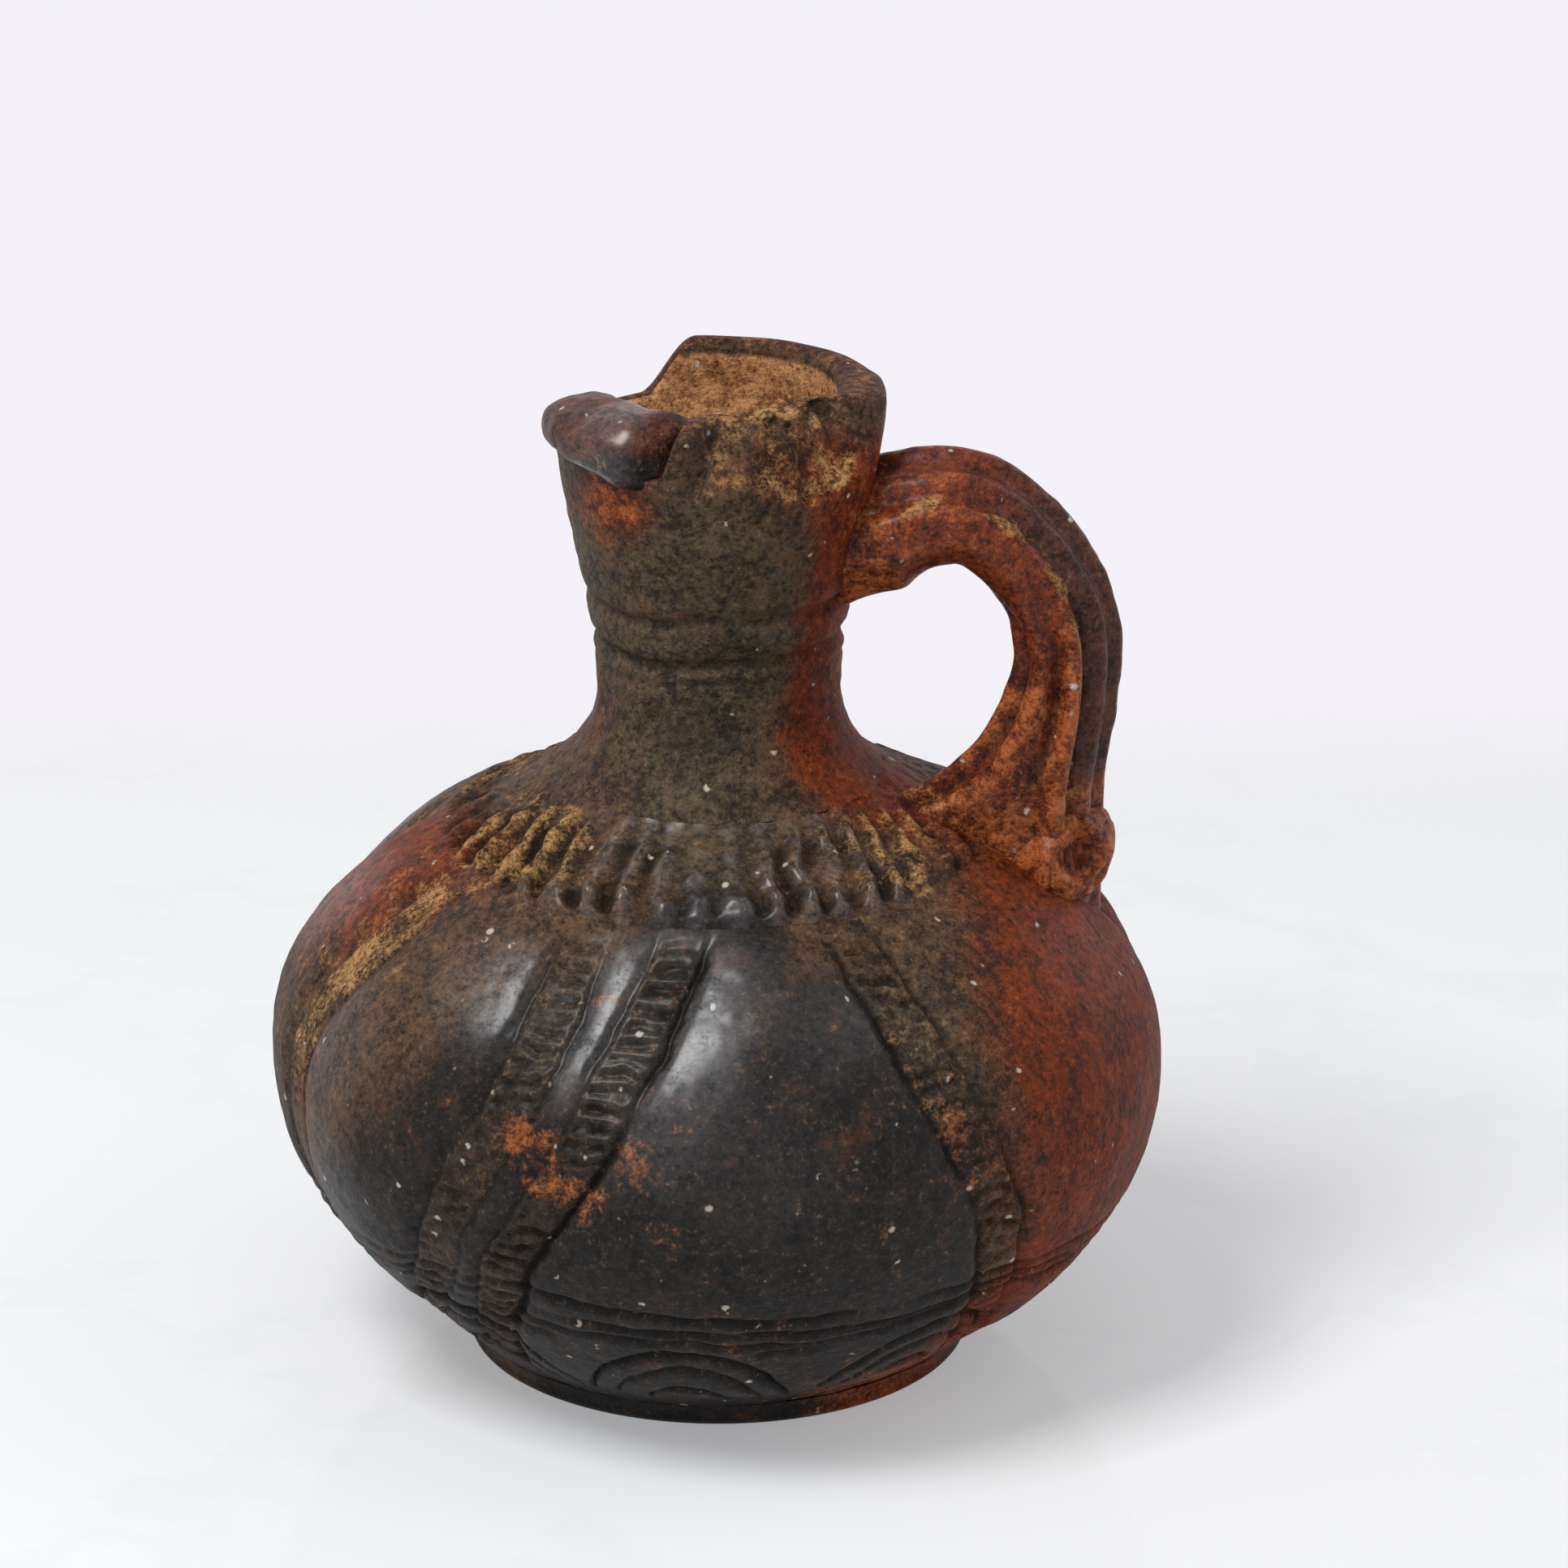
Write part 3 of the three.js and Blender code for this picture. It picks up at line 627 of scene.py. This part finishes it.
def upper_body():
    angle = turns(body_columns)
    level = wall_rows(body_seam, shoulder[1])
    rise, cut, band = ladder_field(angle, level)
    outer = shaped(angle, level, rise, cut)
    inner = inner_wall(angle, body_seam, shoulder[1], 8)
    piece = body_piece("upper_body_clay", outer, inner, cut, band)
    settle(piece, "dark_clay", "upper_body")


upper_body()

# Collar
# Clay pressed round the root of the neck to hold it. Short strokes run out from the neck,
# and in front their ends are pinched into round beads, with ochre dirt and painted shade between.

collar_top = 61
rib_count = 38
bead_rise = 1.2
stroke_rise = 0.95
front_step = 0.7


def collar():
    """The ring of clay with its strokes, and beads in front."""
    angle = turns(body_columns)
    level = wall_rows(shoulder[1], collar_top)
    run = run_at(level) - run_at(shoulder[1])
    length = run[-1, 0]
    place = around(outer_radius(level), angle, level)
    ragged = 0.22 * lumps(place, 4.2, 33) + 0.10 * lumps(place, 1.6, 34)
    from_front = angle + np.pi / 2
    out = 1 - run / length
    lean = 0.20 * np.sin(from_front) * out + 0.10 * smooth(np.sin(from_front)) * out
    turn = ((from_front + lean) / (2 * np.pi) * rib_count + ragged) % 1 - 0.5
    uneven = smooth(0.8 + 0.9 * lumps(place, 4.5, 35))
    in_front = smooth((np.cos(from_front) - 0.62) / 0.3)
    beads = bead_rise * swell(turn, 0.9) ** 0.6 * swell(run - 2.2, 4.6) ** 0.6 * (0.15 + 0.85 * in_front)
    reach = 3 + 1.5 * lumps(place, 5, 38)
    top = length * (0.62 + 0.38 * smooth((np.cos(from_front) + 0.1) / 0.7))
    strokes = stroke_rise * swell(turn, 0.86) ** 0.8 * smooth((run - 0.8) / 1.6)
    strokes = strokes * smooth((top - run - 0.6) / reach)
    strokes = strokes * (1 - 0.6 * in_front) * (0.35 + 0.65 * smooth((np.cos(from_front) - 0.15) / 0.35))
    rise = front_step * in_front * smooth(run / 0.7) * smooth((length - run) / 7)
    rise = rise + (beads + strokes) * (0.4 + 0.6 * uneven) + 0.25 * lumps(place, 1.3, 39) * smooth(run / 0.8)
    gap = (1 - swell(turn, 0.9)) * smooth(run / 1.2) * smooth((top - run - 1) / 3.5)
    lobes = ladder_field(angle, level)[0]
    outer = shaped(angle, level, rise + lobes, 0.5 * gap * uneven)
    inner = inner_wall(angle, shoulder[1], collar_top, 4)
    piece, rings = shell("collar_clay", outer, inner)
    stroke = swell(turn, 0.9) * smooth((run - 0.4) / 1.5) * smooth((length - run - 0.3) / 2.5)
    dirt = clouded(outer, DIRT) * (0.3 + 0.5 * stroke + 0.45 * lumps(outer, 1.6, 56)) * (1 - 0.7 * in_front)
    shine = in_front * swell(turn, 0.9)
    # Painted shade in the gaps between the strokes.
    paint(piece, rings, hollow_shade=lined(0.75 * gap * uneven, inner), dirt=lined(dirt, inner),
          shine=lined(shine, inner))
    settle(piece, "grey_clay", "collar")


collar()

# Neck
# A tube drawn up by hand from the collar and flared towards the mouth. Two soft grooves
# were pressed round it, and wiping left faint lines round the wet clay.

neck_columns = 480
# Soft grooves: level, width and depth, and where the depth is below 0 a low swelling
neck_grooves = [(75.4, 2.6, 0.7), (79.9, 2.4, 0.62), (77.7, 1.5, -0.12), (83.2, 2.4, 0.12), (73.3, 1.2, 0.2)]


def neck():
    """The tube with its grooves and wiped lines."""
    angle = turns(neck_columns)
    level = wall_rows(collar_top, mouth_root[1])
    place = around(outer_radius(level), angle, level)
    wave = level + 0.45 * np.sin(2 * angle + 0.4) + 0.2 * np.sin(5 * angle) + 0.35 * lumps(place, 6, 36)
    cut = sum(depth * swell(wave - at, width) for at, width, depth in neck_grooves)
    cut = cut * (0.5 + 0.5 * np.cos(angle + 1.6) + 0.3 * lumps(place, 8, 37))
    wiped = 0.07 * lumps(place * (0.22, 0.22, 1), 0.9, 31) + 0.06 * lumps(place * (0.2, 0.2, 1), 2.2, 32)
    wiped = wiped * smooth((level - collar_top) / 3) * smooth((mouth_root[1] - level) / 3)
    outer = shaped(angle, level, wiped, cut)
    inner = inner_wall(angle, collar_top, mouth_root[1], 14)
    inner = inner + 0.3 * lumps(inner, 5, 9)[..., None] * around(1, angle, 0)
    piece, rings = shell("neck_clay", outer, inner)
    # Painted shade darkens the grooves.
    paint(piece, rings, hollow_shade=lined(np.clip(0.7 * cut, 0, 1), inner), bare=lined(0 * cut, inner, 1.0))
    settle(piece, "grey_clay", "neck")


neck()

# Rim
# The mouth of the neck, thicker in front, with its edge dipped at the back left for
# pouring. At the front right the rolled lip has broken away and left a sloping bare scar.

rim_wall_front = 7.6
rim_wall_back = 2.6
rim_thick_turn = 0.17
rim_rounding = 0.16
pour_angle = 137
pour_half = 28
pour_ramp = 22
pour_depth = 5.2
roll_from = 150
roll_to = 261
roll_bed = 96
scar_from = -104
scar_to = -8
scar_level = 93.6
scar_slope = 4.4
# Lower edge of the scar: angle and level
scar_edge = [(-106, 93.5), (-98, 93.6), (-80, 95), (-66, 93), (-53, 91.6), (-42, 92.2), (-30, 94), (-8, 95)]


def rim_top(degrees):
    """Level of the rim's edge round the mouth."""
    away = np.abs((degrees - pour_angle + 180) % 360 - 180)
    dip = pour_depth * smooth((pour_half + pour_ramp / 2 - away) / pour_ramp)
    turned = degrees % 360
    in_roll = smooth((turned - roll_from + 4) / 8) * smooth((roll_to - 4 - turned) / 9)
    bed = rim[1] + (roll_bed - rim[1]) * in_roll
    return np.minimum(rim[1] - dip, bed)


def rim_section():
    """Section of the mouth's wall, as shares of its height and of its thickness from outside."""
    bends = np.linspace(0, np.pi, 22)[1:-1]
    straight = 1 - rim_rounding
    path = [(0, 0)] + [(share, 0) for share in np.linspace(0.03, straight, 26)]
    path += [(straight + rim_rounding * math.sin(bend) ** 0.6, 0.5 - 0.5 * math.cos(bend)) for bend in bends]
    path += [(share, 1) for share in np.linspace(straight, 0, 24)]
    return np.array(path).T[:, :, None]


def rim_wall():
    """The mouth's wall, up its outside, over its edge and down its inside, with the torn scar."""
    angle = turns(neck_columns)
    degrees = np.degrees(angle)
    top = rim_top(degrees)
    thick = (rim_wall_front + rim_wall_back) / 2
    thick = thick + (rim_wall_back - rim_wall_front) / 2 * np.sin(angle - rim_thick_turn)
    root_wall = body_wall * outward(angle, np.array([[mouth_root[1]]]))[1]
    share, inset = rim_section()
    level = mouth_root[1] + (top - mouth_root[1]) * share
    rooted = smooth((level - mouth_root[1]) / 6)
    wall = root_wall + (thick - root_wall) * rooted
    plain = around(outer_radius(level) - inset * wall, angle, level)
    in_scar = smooth((degrees - scar_from) / 14) * smooth((scar_to - degrees) / 26)
    edge = around(rim[0], angle, 0)
    ragged = np.interp(degrees, *zip(*scar_edge)) + 0.9 * lumps(edge, 3.4, 41) + 0.7 * lumps(edge, 1.5, 42)
    outside = smooth((0.95 - inset) / 0.2)
    scar = in_scar * smooth((level - ragged) / 0.4) * outside
    slope = np.clip((level - ragged) / (rim[1] - scar_level), 0, 1) * scar_slope
    torn = 0.55 * lumps(plain, 2.8, 43) + 0.3 * lumps(plain, 1.2, 44)
    torn = torn + 0.4 * lumps(plain * (1, 1, 0.4), 1.5, 49)
    broken = scar * (-0.8 - slope * (1 - inset) + 1.25 * torn)
    hand = hand_made(plain) * (1 - 2 * inset)
    rings = plain + outward(angle, level)[0] * (broken + hand)[..., None]
    rings[..., 2] += 0.3 * (lumps(edge, 4.2, 45) - 1) * smooth((share - 0.7) * 4)
    count = len(rings)
    piece = skin("rim_clay", rings, creases=(0, count - 1))
    inside = smooth((inset - 0.6) / 0.3) * smooth((rim[1] - level - 0.4) / 2.5)
    drips = np.abs(level - ragged - 0.4 - 0.5 * lumps(plain, 1.6, 48)) / 1.3
    crust = 0.55 * scar * smooth(1.2 - drips) * smooth(0.9 * lumps(edge, 4, 46) + 0.7)
    crust = crust + scar * (0.3 + 0.35 * lumps(plain, 2.2, 47))
    top = smooth((share - 0.9) / 0.08)
    sandy = np.clip(0.95 * inside + 0.2 * scar * (0.5 + lumps(plain, 1.8, 57)), 0, 1)
    # Painted shade in the torn pits of the scar.
    scar_pit_shade = scar * np.clip(-0.6 * torn, 0, 0.5)
    paint(piece, rings, hollow_shade=scar_pit_shade, dirt=crust + 0.3 * top, bare=sandy, red=0.3 * top + 0.1 * scar,
          plum=0.6 * top)
    settle(piece, "grey_clay", "rim_wall")


rim_wall()

# Lip roll
# The thick rolled lip that survives beside the pouring channel and round the left of
# the mouth. It is rubbed smooth and dark, and its front end sinks into the wall.

roll_columns = 110
roll_rings = 230
roll_radius = 13.9
roll_level = 98.1
roll_back_drop = 2.4
roll_half_depth = 4.2
roll_half_height = 2.8
roll_tilt = 0.16
roll_end_depth = 3.2
roll_end_drop = 1.2
roll_end_swell = 0.3


def lip_roll():
    """The rolled coil from the pouring channel round to the front."""
    share = np.linspace(0, 1, roll_rings)[:, None]
    turn = np.linspace(0, 2 * np.pi, roll_columns, endpoint=False)[None, :]
    taper = np.clip(1 - np.abs(2 * share - 1) ** 12, 0, 1) ** 0.5
    back = smooth(share * 2.3)
    taper = taper * (0.66 + 0.34 * back)
    angle = np.radians(roll_from + (roll_to - roll_from) * share)
    across = np.sign(np.cos(turn)) * np.abs(np.cos(turn)) ** 0.86 * roll_half_depth * taper
    up = np.sign(np.sin(turn)) * np.abs(np.sin(turn)) ** 0.8 * roll_half_height * taper
    up = up * (1 + roll_end_swell * smooth((share - 0.5) / 0.4))
    up = up - roll_tilt * across
    level = roll_level - roll_back_drop * (1 - back) - roll_end_drop * smooth((share - 0.5) / 0.5)
    sunk = smooth((share - 0.72) / 0.28)
    rings = around(roll_radius - roll_end_depth * sunk + across * (1 - 0.3 * sunk), angle, level + up)
    middle = around(roll_radius - roll_end_depth * sunk, angle, level)
    away = (rings - middle) / np.maximum(np.linalg.norm(rings - middle, axis=-1, keepdims=True), 0.2)
    ragged = smooth((share - 0.84) / 0.1)
    push = hand_made(rings) + 0.35 * lumps(rings, 5, 58) + 0.15 * lumps(rings, 1.6, 59)
    push = push + ragged * (0.6 * lumps(rings, 1.8, 51) + 0.5 * lumps(rings, 3.4, 53) - 0.35)
    rings = rings + away * (push * smooth(taper * 3 - 0.4))[..., None]
    rings = rings[:, ::-1]
    rings[..., 2] = np.minimum(rings[..., 2], rim[1] - 0.02)
    piece = skin("lip_roll_clay", rings, caps=True)
    dirt = 0.3 * smooth(lumps(rings, 2.5, 52) * 2 - 0.8)
    dirt = dirt + 0.5 * ragged * smooth(lumps(rings, 2, 54) * 2 - 0.3)
    gloss = smooth(1.6 * swell(share - 0.7, 0.34)) + 0.3 * swell(share - 0.45, 0.5)
    smoke = smooth(1.4 * swell(share - 0.78, 0.5) + 0.5 * lumps(rings, 3, 66) - 0.15)
    smoke = smoke * smooth(0.75 - 0.7 * np.sin(turn[:, ::-1]))
    paint(piece, rings, dirt=dirt, bare=0.1 * ragged, red=0.05, shine=gloss, smoke=0.85 * smoke, plum=0.85)
    settle(piece, "lip_clay", "lip_roll")


lip_roll()

# Handle strap
# A thick strap of three clay rolls laid side by side, bent from under the rim to the
# shoulder and smeared onto both. Its outer roll is smoked dark and its crest rubbed red.

handle_angle = math.radians(-4)
handle_root = (13.2, 86.2)
handle_crest = (23.25, 88.6)
handle_reach = (34.8, 73.6)
handle_foot = (33.9, 52.9)
handle_leg_bow = 1.7
handle_fullness = 0.47
strap_half_width = 6.3
strap_half_thickness = 3.9
strap_squareness = 2.6
strap_ridge = 0.5
strap_roll = 0.75
strap_twist = math.radians(30)
strap_fillet = (1.6, 4.4)
strap_bed = 0.7
strap_end_bed = 1.5
strap_rings = 260
strap_columns = 160
web_reach = 12
web_spread = 26
web_height = 4.8


def handle_points():
    """Middle line of the strap at even steps, in its own plane."""
    root, crest, reach, foot = np.array([handle_root, handle_crest, handle_reach, handle_foot])
    rise, over, leg = (handle_fullness * size for size in (crest - root, crest - reach, reach - foot))
    line = np.concatenate([
        sweep(root, root + rise, (crest[0] - rise[0], crest[1]), crest),
        sweep(crest, (crest[0] - over[0], crest[1]), (reach[0], reach[1] + over[1]), reach)[1:],
        sweep(reach, (reach[0], reach[1] - leg[1]), (foot[0] - handle_leg_bow, foot[1] + leg[1]), foot)[1:],
    ])
    run = np.concatenate([[0], np.cumsum(np.linalg.norm(np.diff(line, axis=0), axis=1))])
    even = np.linspace(0, run[-1], strap_rings)
    return np.stack([np.interp(even, run, line[:, axis]) for axis in (0, 1)], axis=-1)


def shoulder_level(radius):
    """Level of the vessel's upper side at a distance from its axis."""
    return np.interp(radius, shoulder_curve[::-1, 0], shoulder_curve[::-1, 1])


def swung(points):
    """Points of the handle's own plane turned to where the handle stands."""
    turn = np.array([[math.cos(handle_angle), math.sin(handle_angle), 0],
                     [-math.sin(handle_angle), math.cos(handle_angle), 0], [0, 0, 1]])
    return points @ turn


def strap_section(share, at_neck, at_foot):
    """The strap's section: places across and out, ridges and rolls, all from -1 to 1, and how far
    each point lies to the side and outward."""
    turn = np.linspace(0, 2 * np.pi, strap_columns, endpoint=False)[None, :]
    power = 2 / strap_squareness
    across = np.sign(np.cos(turn)) * np.abs(np.cos(turn)) ** power
    out = np.sign(np.sin(turn)) * np.abs(np.sin(turn)) ** power
    ridge = np.where(np.sin(turn) > 0, np.cos(3 * np.pi * across) * (1 - across ** 4), 0)
    rolls = np.cos(8 * turn + 0.5) * smooth(0.3 - across) * smooth((share - 0.35) / 0.3) * (1 - at_foot)
    grow = 1 + 0.05 * smooth(1 - share / 0.3) + 0.12 * at_neck - 0.1 * at_foot
    side = across * strap_half_width * grow
    lift = out * strap_half_thickness * grow
    lift = lift + strap_ridge * ridge * (1 - 0.8 * at_neck) * (1 - 0.7 * at_foot)
    side = side + strap_roll * rolls * np.cos(turn)
    lift = lift + strap_roll * rolls * np.sin(turn)
    sideways = side * math.cos(strap_twist) - lift * math.sin(strap_twist)
    outside = side * math.sin(strap_twist) + lift * math.cos(strap_twist)
    return across, out, ridge, rolls, sideways, outside


def handle_strap():
    """The strap: how it is bent, its web and where it is pressed on, then its tones."""
    middle = handle_points()
    along = np.gradient(middle, axis=0)
    along /= np.linalg.norm(along, axis=1, keepdims=True)
    share = np.linspace(0, 1, strap_rings)[:, None]
    run = np.concatenate([[0], np.cumsum(np.linalg.norm(np.diff(middle, axis=0), axis=1))])[:, None]
    at_neck = np.exp(-((run - 1.2).clip(0)) / 3.0)
    at_foot = np.exp(-((run[-1] - run - 2).clip(0)) / 3.0)
    across, out, ridge, rolls, sideways, outside = strap_section(share, at_neck, at_foot)
    under = smooth(-outside / strap_half_thickness)
    fillet = strap_fillet[0] * at_neck + strap_fillet[1] * at_neck ** 3
    outside = outside - fillet * under * (1 - 0.4 * across ** 2)
    x = middle[:, :1] - along[:, 1:] * outside
    z = middle[:, 1:] + along[:, :1] * outside
    above = np.clip(z - shoulder_level(x), 0, None)
    lower = smooth((share - 0.55) / 0.15)
    web = np.minimum(web_reach, web_spread * np.exp(-above / web_height))
    x = x - web * under * lower
    rings = swung(np.stack([x, sideways, z], axis=-1))
    reach = np.linalg.norm(rings[..., :2], axis=-1)
    hug = smooth((at_neck - 0.42) / 0.45)
    bedded = strap_bed + strap_end_bed * smooth((at_neck - 0.8) / 0.2)
    held = reach + (outer_radius(rings[..., 2]) - bedded - reach) * hug
    rings[..., :2] *= (held / reach)[..., None]
    rest = smooth((at_foot - 0.45) / 0.5)
    sunk = np.minimum(rings[..., 2], shoulder_level(reach) - 1.0)
    rings[..., 2] += (sunk - rings[..., 2]) * rest
    core = swung(np.stack([middle[:, 0], 0 * middle[:, 0], middle[:, 1]], axis=-1))[:, None, :]
    away = (rings - core) / np.linalg.norm(rings - core, axis=-1, keepdims=True)
    rings = rings + away * (worn(rings, 60) * 1.2 * (1 - hug))[..., None]
    piece = skin("handle_strap_clay", rings, caps=True)
    # Painted shade between the ridges and in the grooves between the rolls.
    hollow_shade = np.clip(-ridge, 0, 1) * (0.3 + 0.3 * lumps(rings, 3, 62)) * (1 - at_neck)
    hollow_shade = hollow_shade + np.clip(-rolls, 0, 1) * (0.6 + 0.3 * lumps(rings, 3, 64))
    dark = smooth((across + 0.62) / 0.3) * smooth(out + 0.4)
    dark = dark * smooth((share - 0.12) / 0.25) * smooth((0.9 - share) / 0.1)
    flakes = swell(across + 0.5, 0.7) * smooth(out * 2) * smooth(lumps(rings, 1.8, 61) * 1.6 + 0.35)
    sandy = 0.85 * smooth(np.exp(-above / 6) * under * lower * 1.8 - 0.2)
    rubbed = 0.08 + 0.22 * smooth(1 - share / 0.4) + 0.42 * smooth((share - 0.4) / 0.4)
    rubbed = rubbed + 0.25 * np.clip(rolls + ridge, 0, 1) + 0.3 * lumps(rings, 4, 65)
    paint(piece, rings, hollow_shade=hollow_shade, dirt=0.8 * flakes + sandy, red=0.9, shine=0.25,
          ember=rubbed * (1 - dark) * (1 - 0.8 * sandy), plum=0.75 * dark)
    settle(piece, "red_clay", "handle_strap")


handle_strap()

# Handle knob
# The strap's lower end, turned back on itself and pressed onto the shoulder with a
# thumb, which left a curled hollow in its front.

knob_half = (5.6, 7.4, 6.4)
knob_rings = 150
knob_columns = 200
knob_hollow = 1.7
knob_hollow_depth = 1.1
thumb_direction = (0.42, -0.88, 0.12)


def handle_knob():
    """A turned ball of clay with folds, a lapped edge and the thumb's hollow."""
    rise = np.linspace(-np.pi / 2, np.pi / 2, knob_rings + 2)[1:-1, None]
    turn = np.linspace(0, 2 * np.pi, knob_columns, endpoint=False)[None, :]
    ball = around(np.cos(rise), turn, np.sin(rise))
    x, y, z = np.moveaxis(ball * np.array(knob_half), -1, 0)
    cosine, sine = np.cos(-strap_twist), np.sin(-strap_twist)
    points = np.stack([x * cosine - y * sine, x * sine + y * cosine, z], axis=-1)
    out = points / np.linalg.norm(points, axis=-1, keepdims=True)
    warp = points + 1.2 * np.stack([lumps(points, 4, seed) for seed in (75, 76, 77)], axis=-1)
    thumb = np.array(Vector(thumb_direction).normalized())
    toward = np.clip(out @ thumb, -1, 1)
    reach = np.arccos(toward) * knob_half[0] + 0.9 * lumps(points, 2.2, 78)
    pit = smooth(1 - (reach - knob_hollow) / 0.9)
    lap = swell(reach - knob_hollow - 1.6, 2.2)
    folds = smooth(1 - np.abs(lumps(warp, 4.6, 71)) / 0.2)
    folds = folds + 0.6 * smooth(1 - np.abs(lumps(warp, 2.6, 72)) / 0.2)
    push = 0.5 * lap - knob_hollow_depth * pit - 0.45 * folds + 0.35 * lumps(points, 2.2, 73) - 0.3
    points = points + out * push[..., None]
    points = swung(points + np.array([handle_foot[0], 0, handle_foot[1]]))
    piece = skin("handle_knob_clay", points, caps=True)
    # Painted shade in the folds and the thumb's hollow: darker and less orange there.
    fold_shade = np.clip(0.4 * folds + 0.45 * pit, 0, 1)
    paint(piece, points, hollow_shade=0.6 * fold_shade, dirt=0.15 * lap, red=1.0, shine=0.2,
          ember=0.85 - 0.5 * fold_shade + 0.3 * lumps(points, 3, 79))
    settle(piece, "red_clay", "handle_terminal")


handle_knob()

# Table and light
# A polished pale stone table that fades into a pale wall, with soft daylight from a
# window high at the left and a weaker one at the right.

table_half = 0.8
table_fade = (0.145, 0.195)
air_strength = 0.42


def seen(finish):
    """1 for the rays of the camera, of gloss and through clear things, and 0 for all others."""
    camera_ray, glossy, through = (finish.node("ShaderNodeLightPath", output=name) for name in (
        "Is Camera Ray", "Is Glossy Ray", "Is Transmission Ray"))
    return camera_ray + glossy + through


def table():
    mesh = bpy.data.meshes.new("table")
    corners = [(-table_half, -table_half, 0), (table_half, -table_half, 0),
               (table_half, table_half, 0), (-table_half, table_half, 0)]
    mesh.from_pydata(corners, [], [(0, 1, 2, 3)])
    top = bpy.data.objects.new("table", mesh)
    bpy.context.scene.collection.objects.link(top)
    stone = Finish(bpy.data.materials.new("polished_stone"))
    place = stone.node("ShaderNodeTexCoord", output="Object")
    back = stone.node("ShaderNodeSeparateXYZ", None, {0: place}, 1)
    veins = stone.noise(place, 90, 6, 0.6) - 0.5
    pale = stone.mix((1 - veins.maths("ABSOLUTE", veins).between(0.0, 0.03)) * 0.25,
                     colour("F8F9FA"), colour("E6E8EB"))
    polished = stone.node("ShaderNodeBsdfPrincipled", None, {
        "Base Color": pale, "Roughness": 0.1, "Specular IOR Level": 0.1})
    lit = stone.node("ShaderNodeEmission", None, {"Color": colour("F2F3F5"), "Strength": 1.0})
    polished = stone.node("ShaderNodeMixShader", None, {0: seen(stone) * 0.35, 1: polished, 2: lit})
    clear = stone.node("ShaderNodeBsdfTransparent")
    fade = back.between(*table_fade)
    mixed = stone.node("ShaderNodeMixShader", None, {0: fade, 1: polished, 2: clear})
    top.data.materials.append(stone.surface(mixed))


def window(name, place, aim, width, height, watts):
    lamp = bpy.data.lights.new(name, "AREA")
    lamp.shape = "RECTANGLE"
    lamp.size = width
    lamp.size_y = height
    lamp.energy = watts
    holder = bpy.data.objects.new(name, lamp)
    holder.location = place
    holder.rotation_euler = (Vector(aim) - Vector(place)).to_track_quat("-Z", "Y").to_euler()
    bpy.context.scene.collection.objects.link(holder)


def wall():
    """Pale wall for the camera and for gloss, and weaker even light for all else."""
    room = Finish(bpy.data.worlds.new("room"))
    plaster = room.node("ShaderNodeBackground", None, {"Color": colour("F4F1F8"), "Strength": 1.0})
    air = room.node("ShaderNodeBackground", None, {"Color": colour("F6F7FA"), "Strength": air_strength})
    both = room.node("ShaderNodeMixShader", None, {0: seen(room), 1: air, 2: plaster})
    bpy.context.scene.world = room.surface(both, "ShaderNodeOutputWorld")


table()
wall()
window("window_left", place=(-0.26, -0.24, 0.62), aim=(0, 0, 0.04), width=0.26, height=0.26, watts=3.5)
window("window_right", place=(0.5, 0.1, 0.45), aim=(0, 0, 0.05), width=0.4, height=0.4, watts=0.5)

# Camera
# A long lens, level side to side and about 21 degrees above the table, which looks at
# the front of the jug with the handle at its right.

camera_rise = math.radians(21)
camera_distance = 0.75
aim_level = 0.052
frame_pixels = 1932
pixels_per_metre = 12300
axis_pixel = (885, 1044)


def camera():
    """A camera whose shifted lens puts the jug's axis at axis_pixel."""
    lens = bpy.data.cameras.new("camera")
    lens.sensor_width = 36
    lens.lens = pixels_per_metre * camera_distance / frame_pixels * lens.sensor_width
    lens.shift_x = (frame_pixels / 2 - axis_pixel[0]) / frame_pixels
    lens.shift_y = (axis_pixel[1] - frame_pixels / 2) / frame_pixels
    eye = bpy.data.objects.new("camera", lens)
    eye.location = (0, -camera_distance * math.cos(camera_rise),
                    aim_level + camera_distance * math.sin(camera_rise))
    eye.rotation_euler = (math.pi / 2 - camera_rise, 0, 0)
    bpy.context.scene.collection.objects.link(eye)
    bpy.context.scene.camera = eye


camera()
bpy.context.scene.view_settings.view_transform = "Standard"
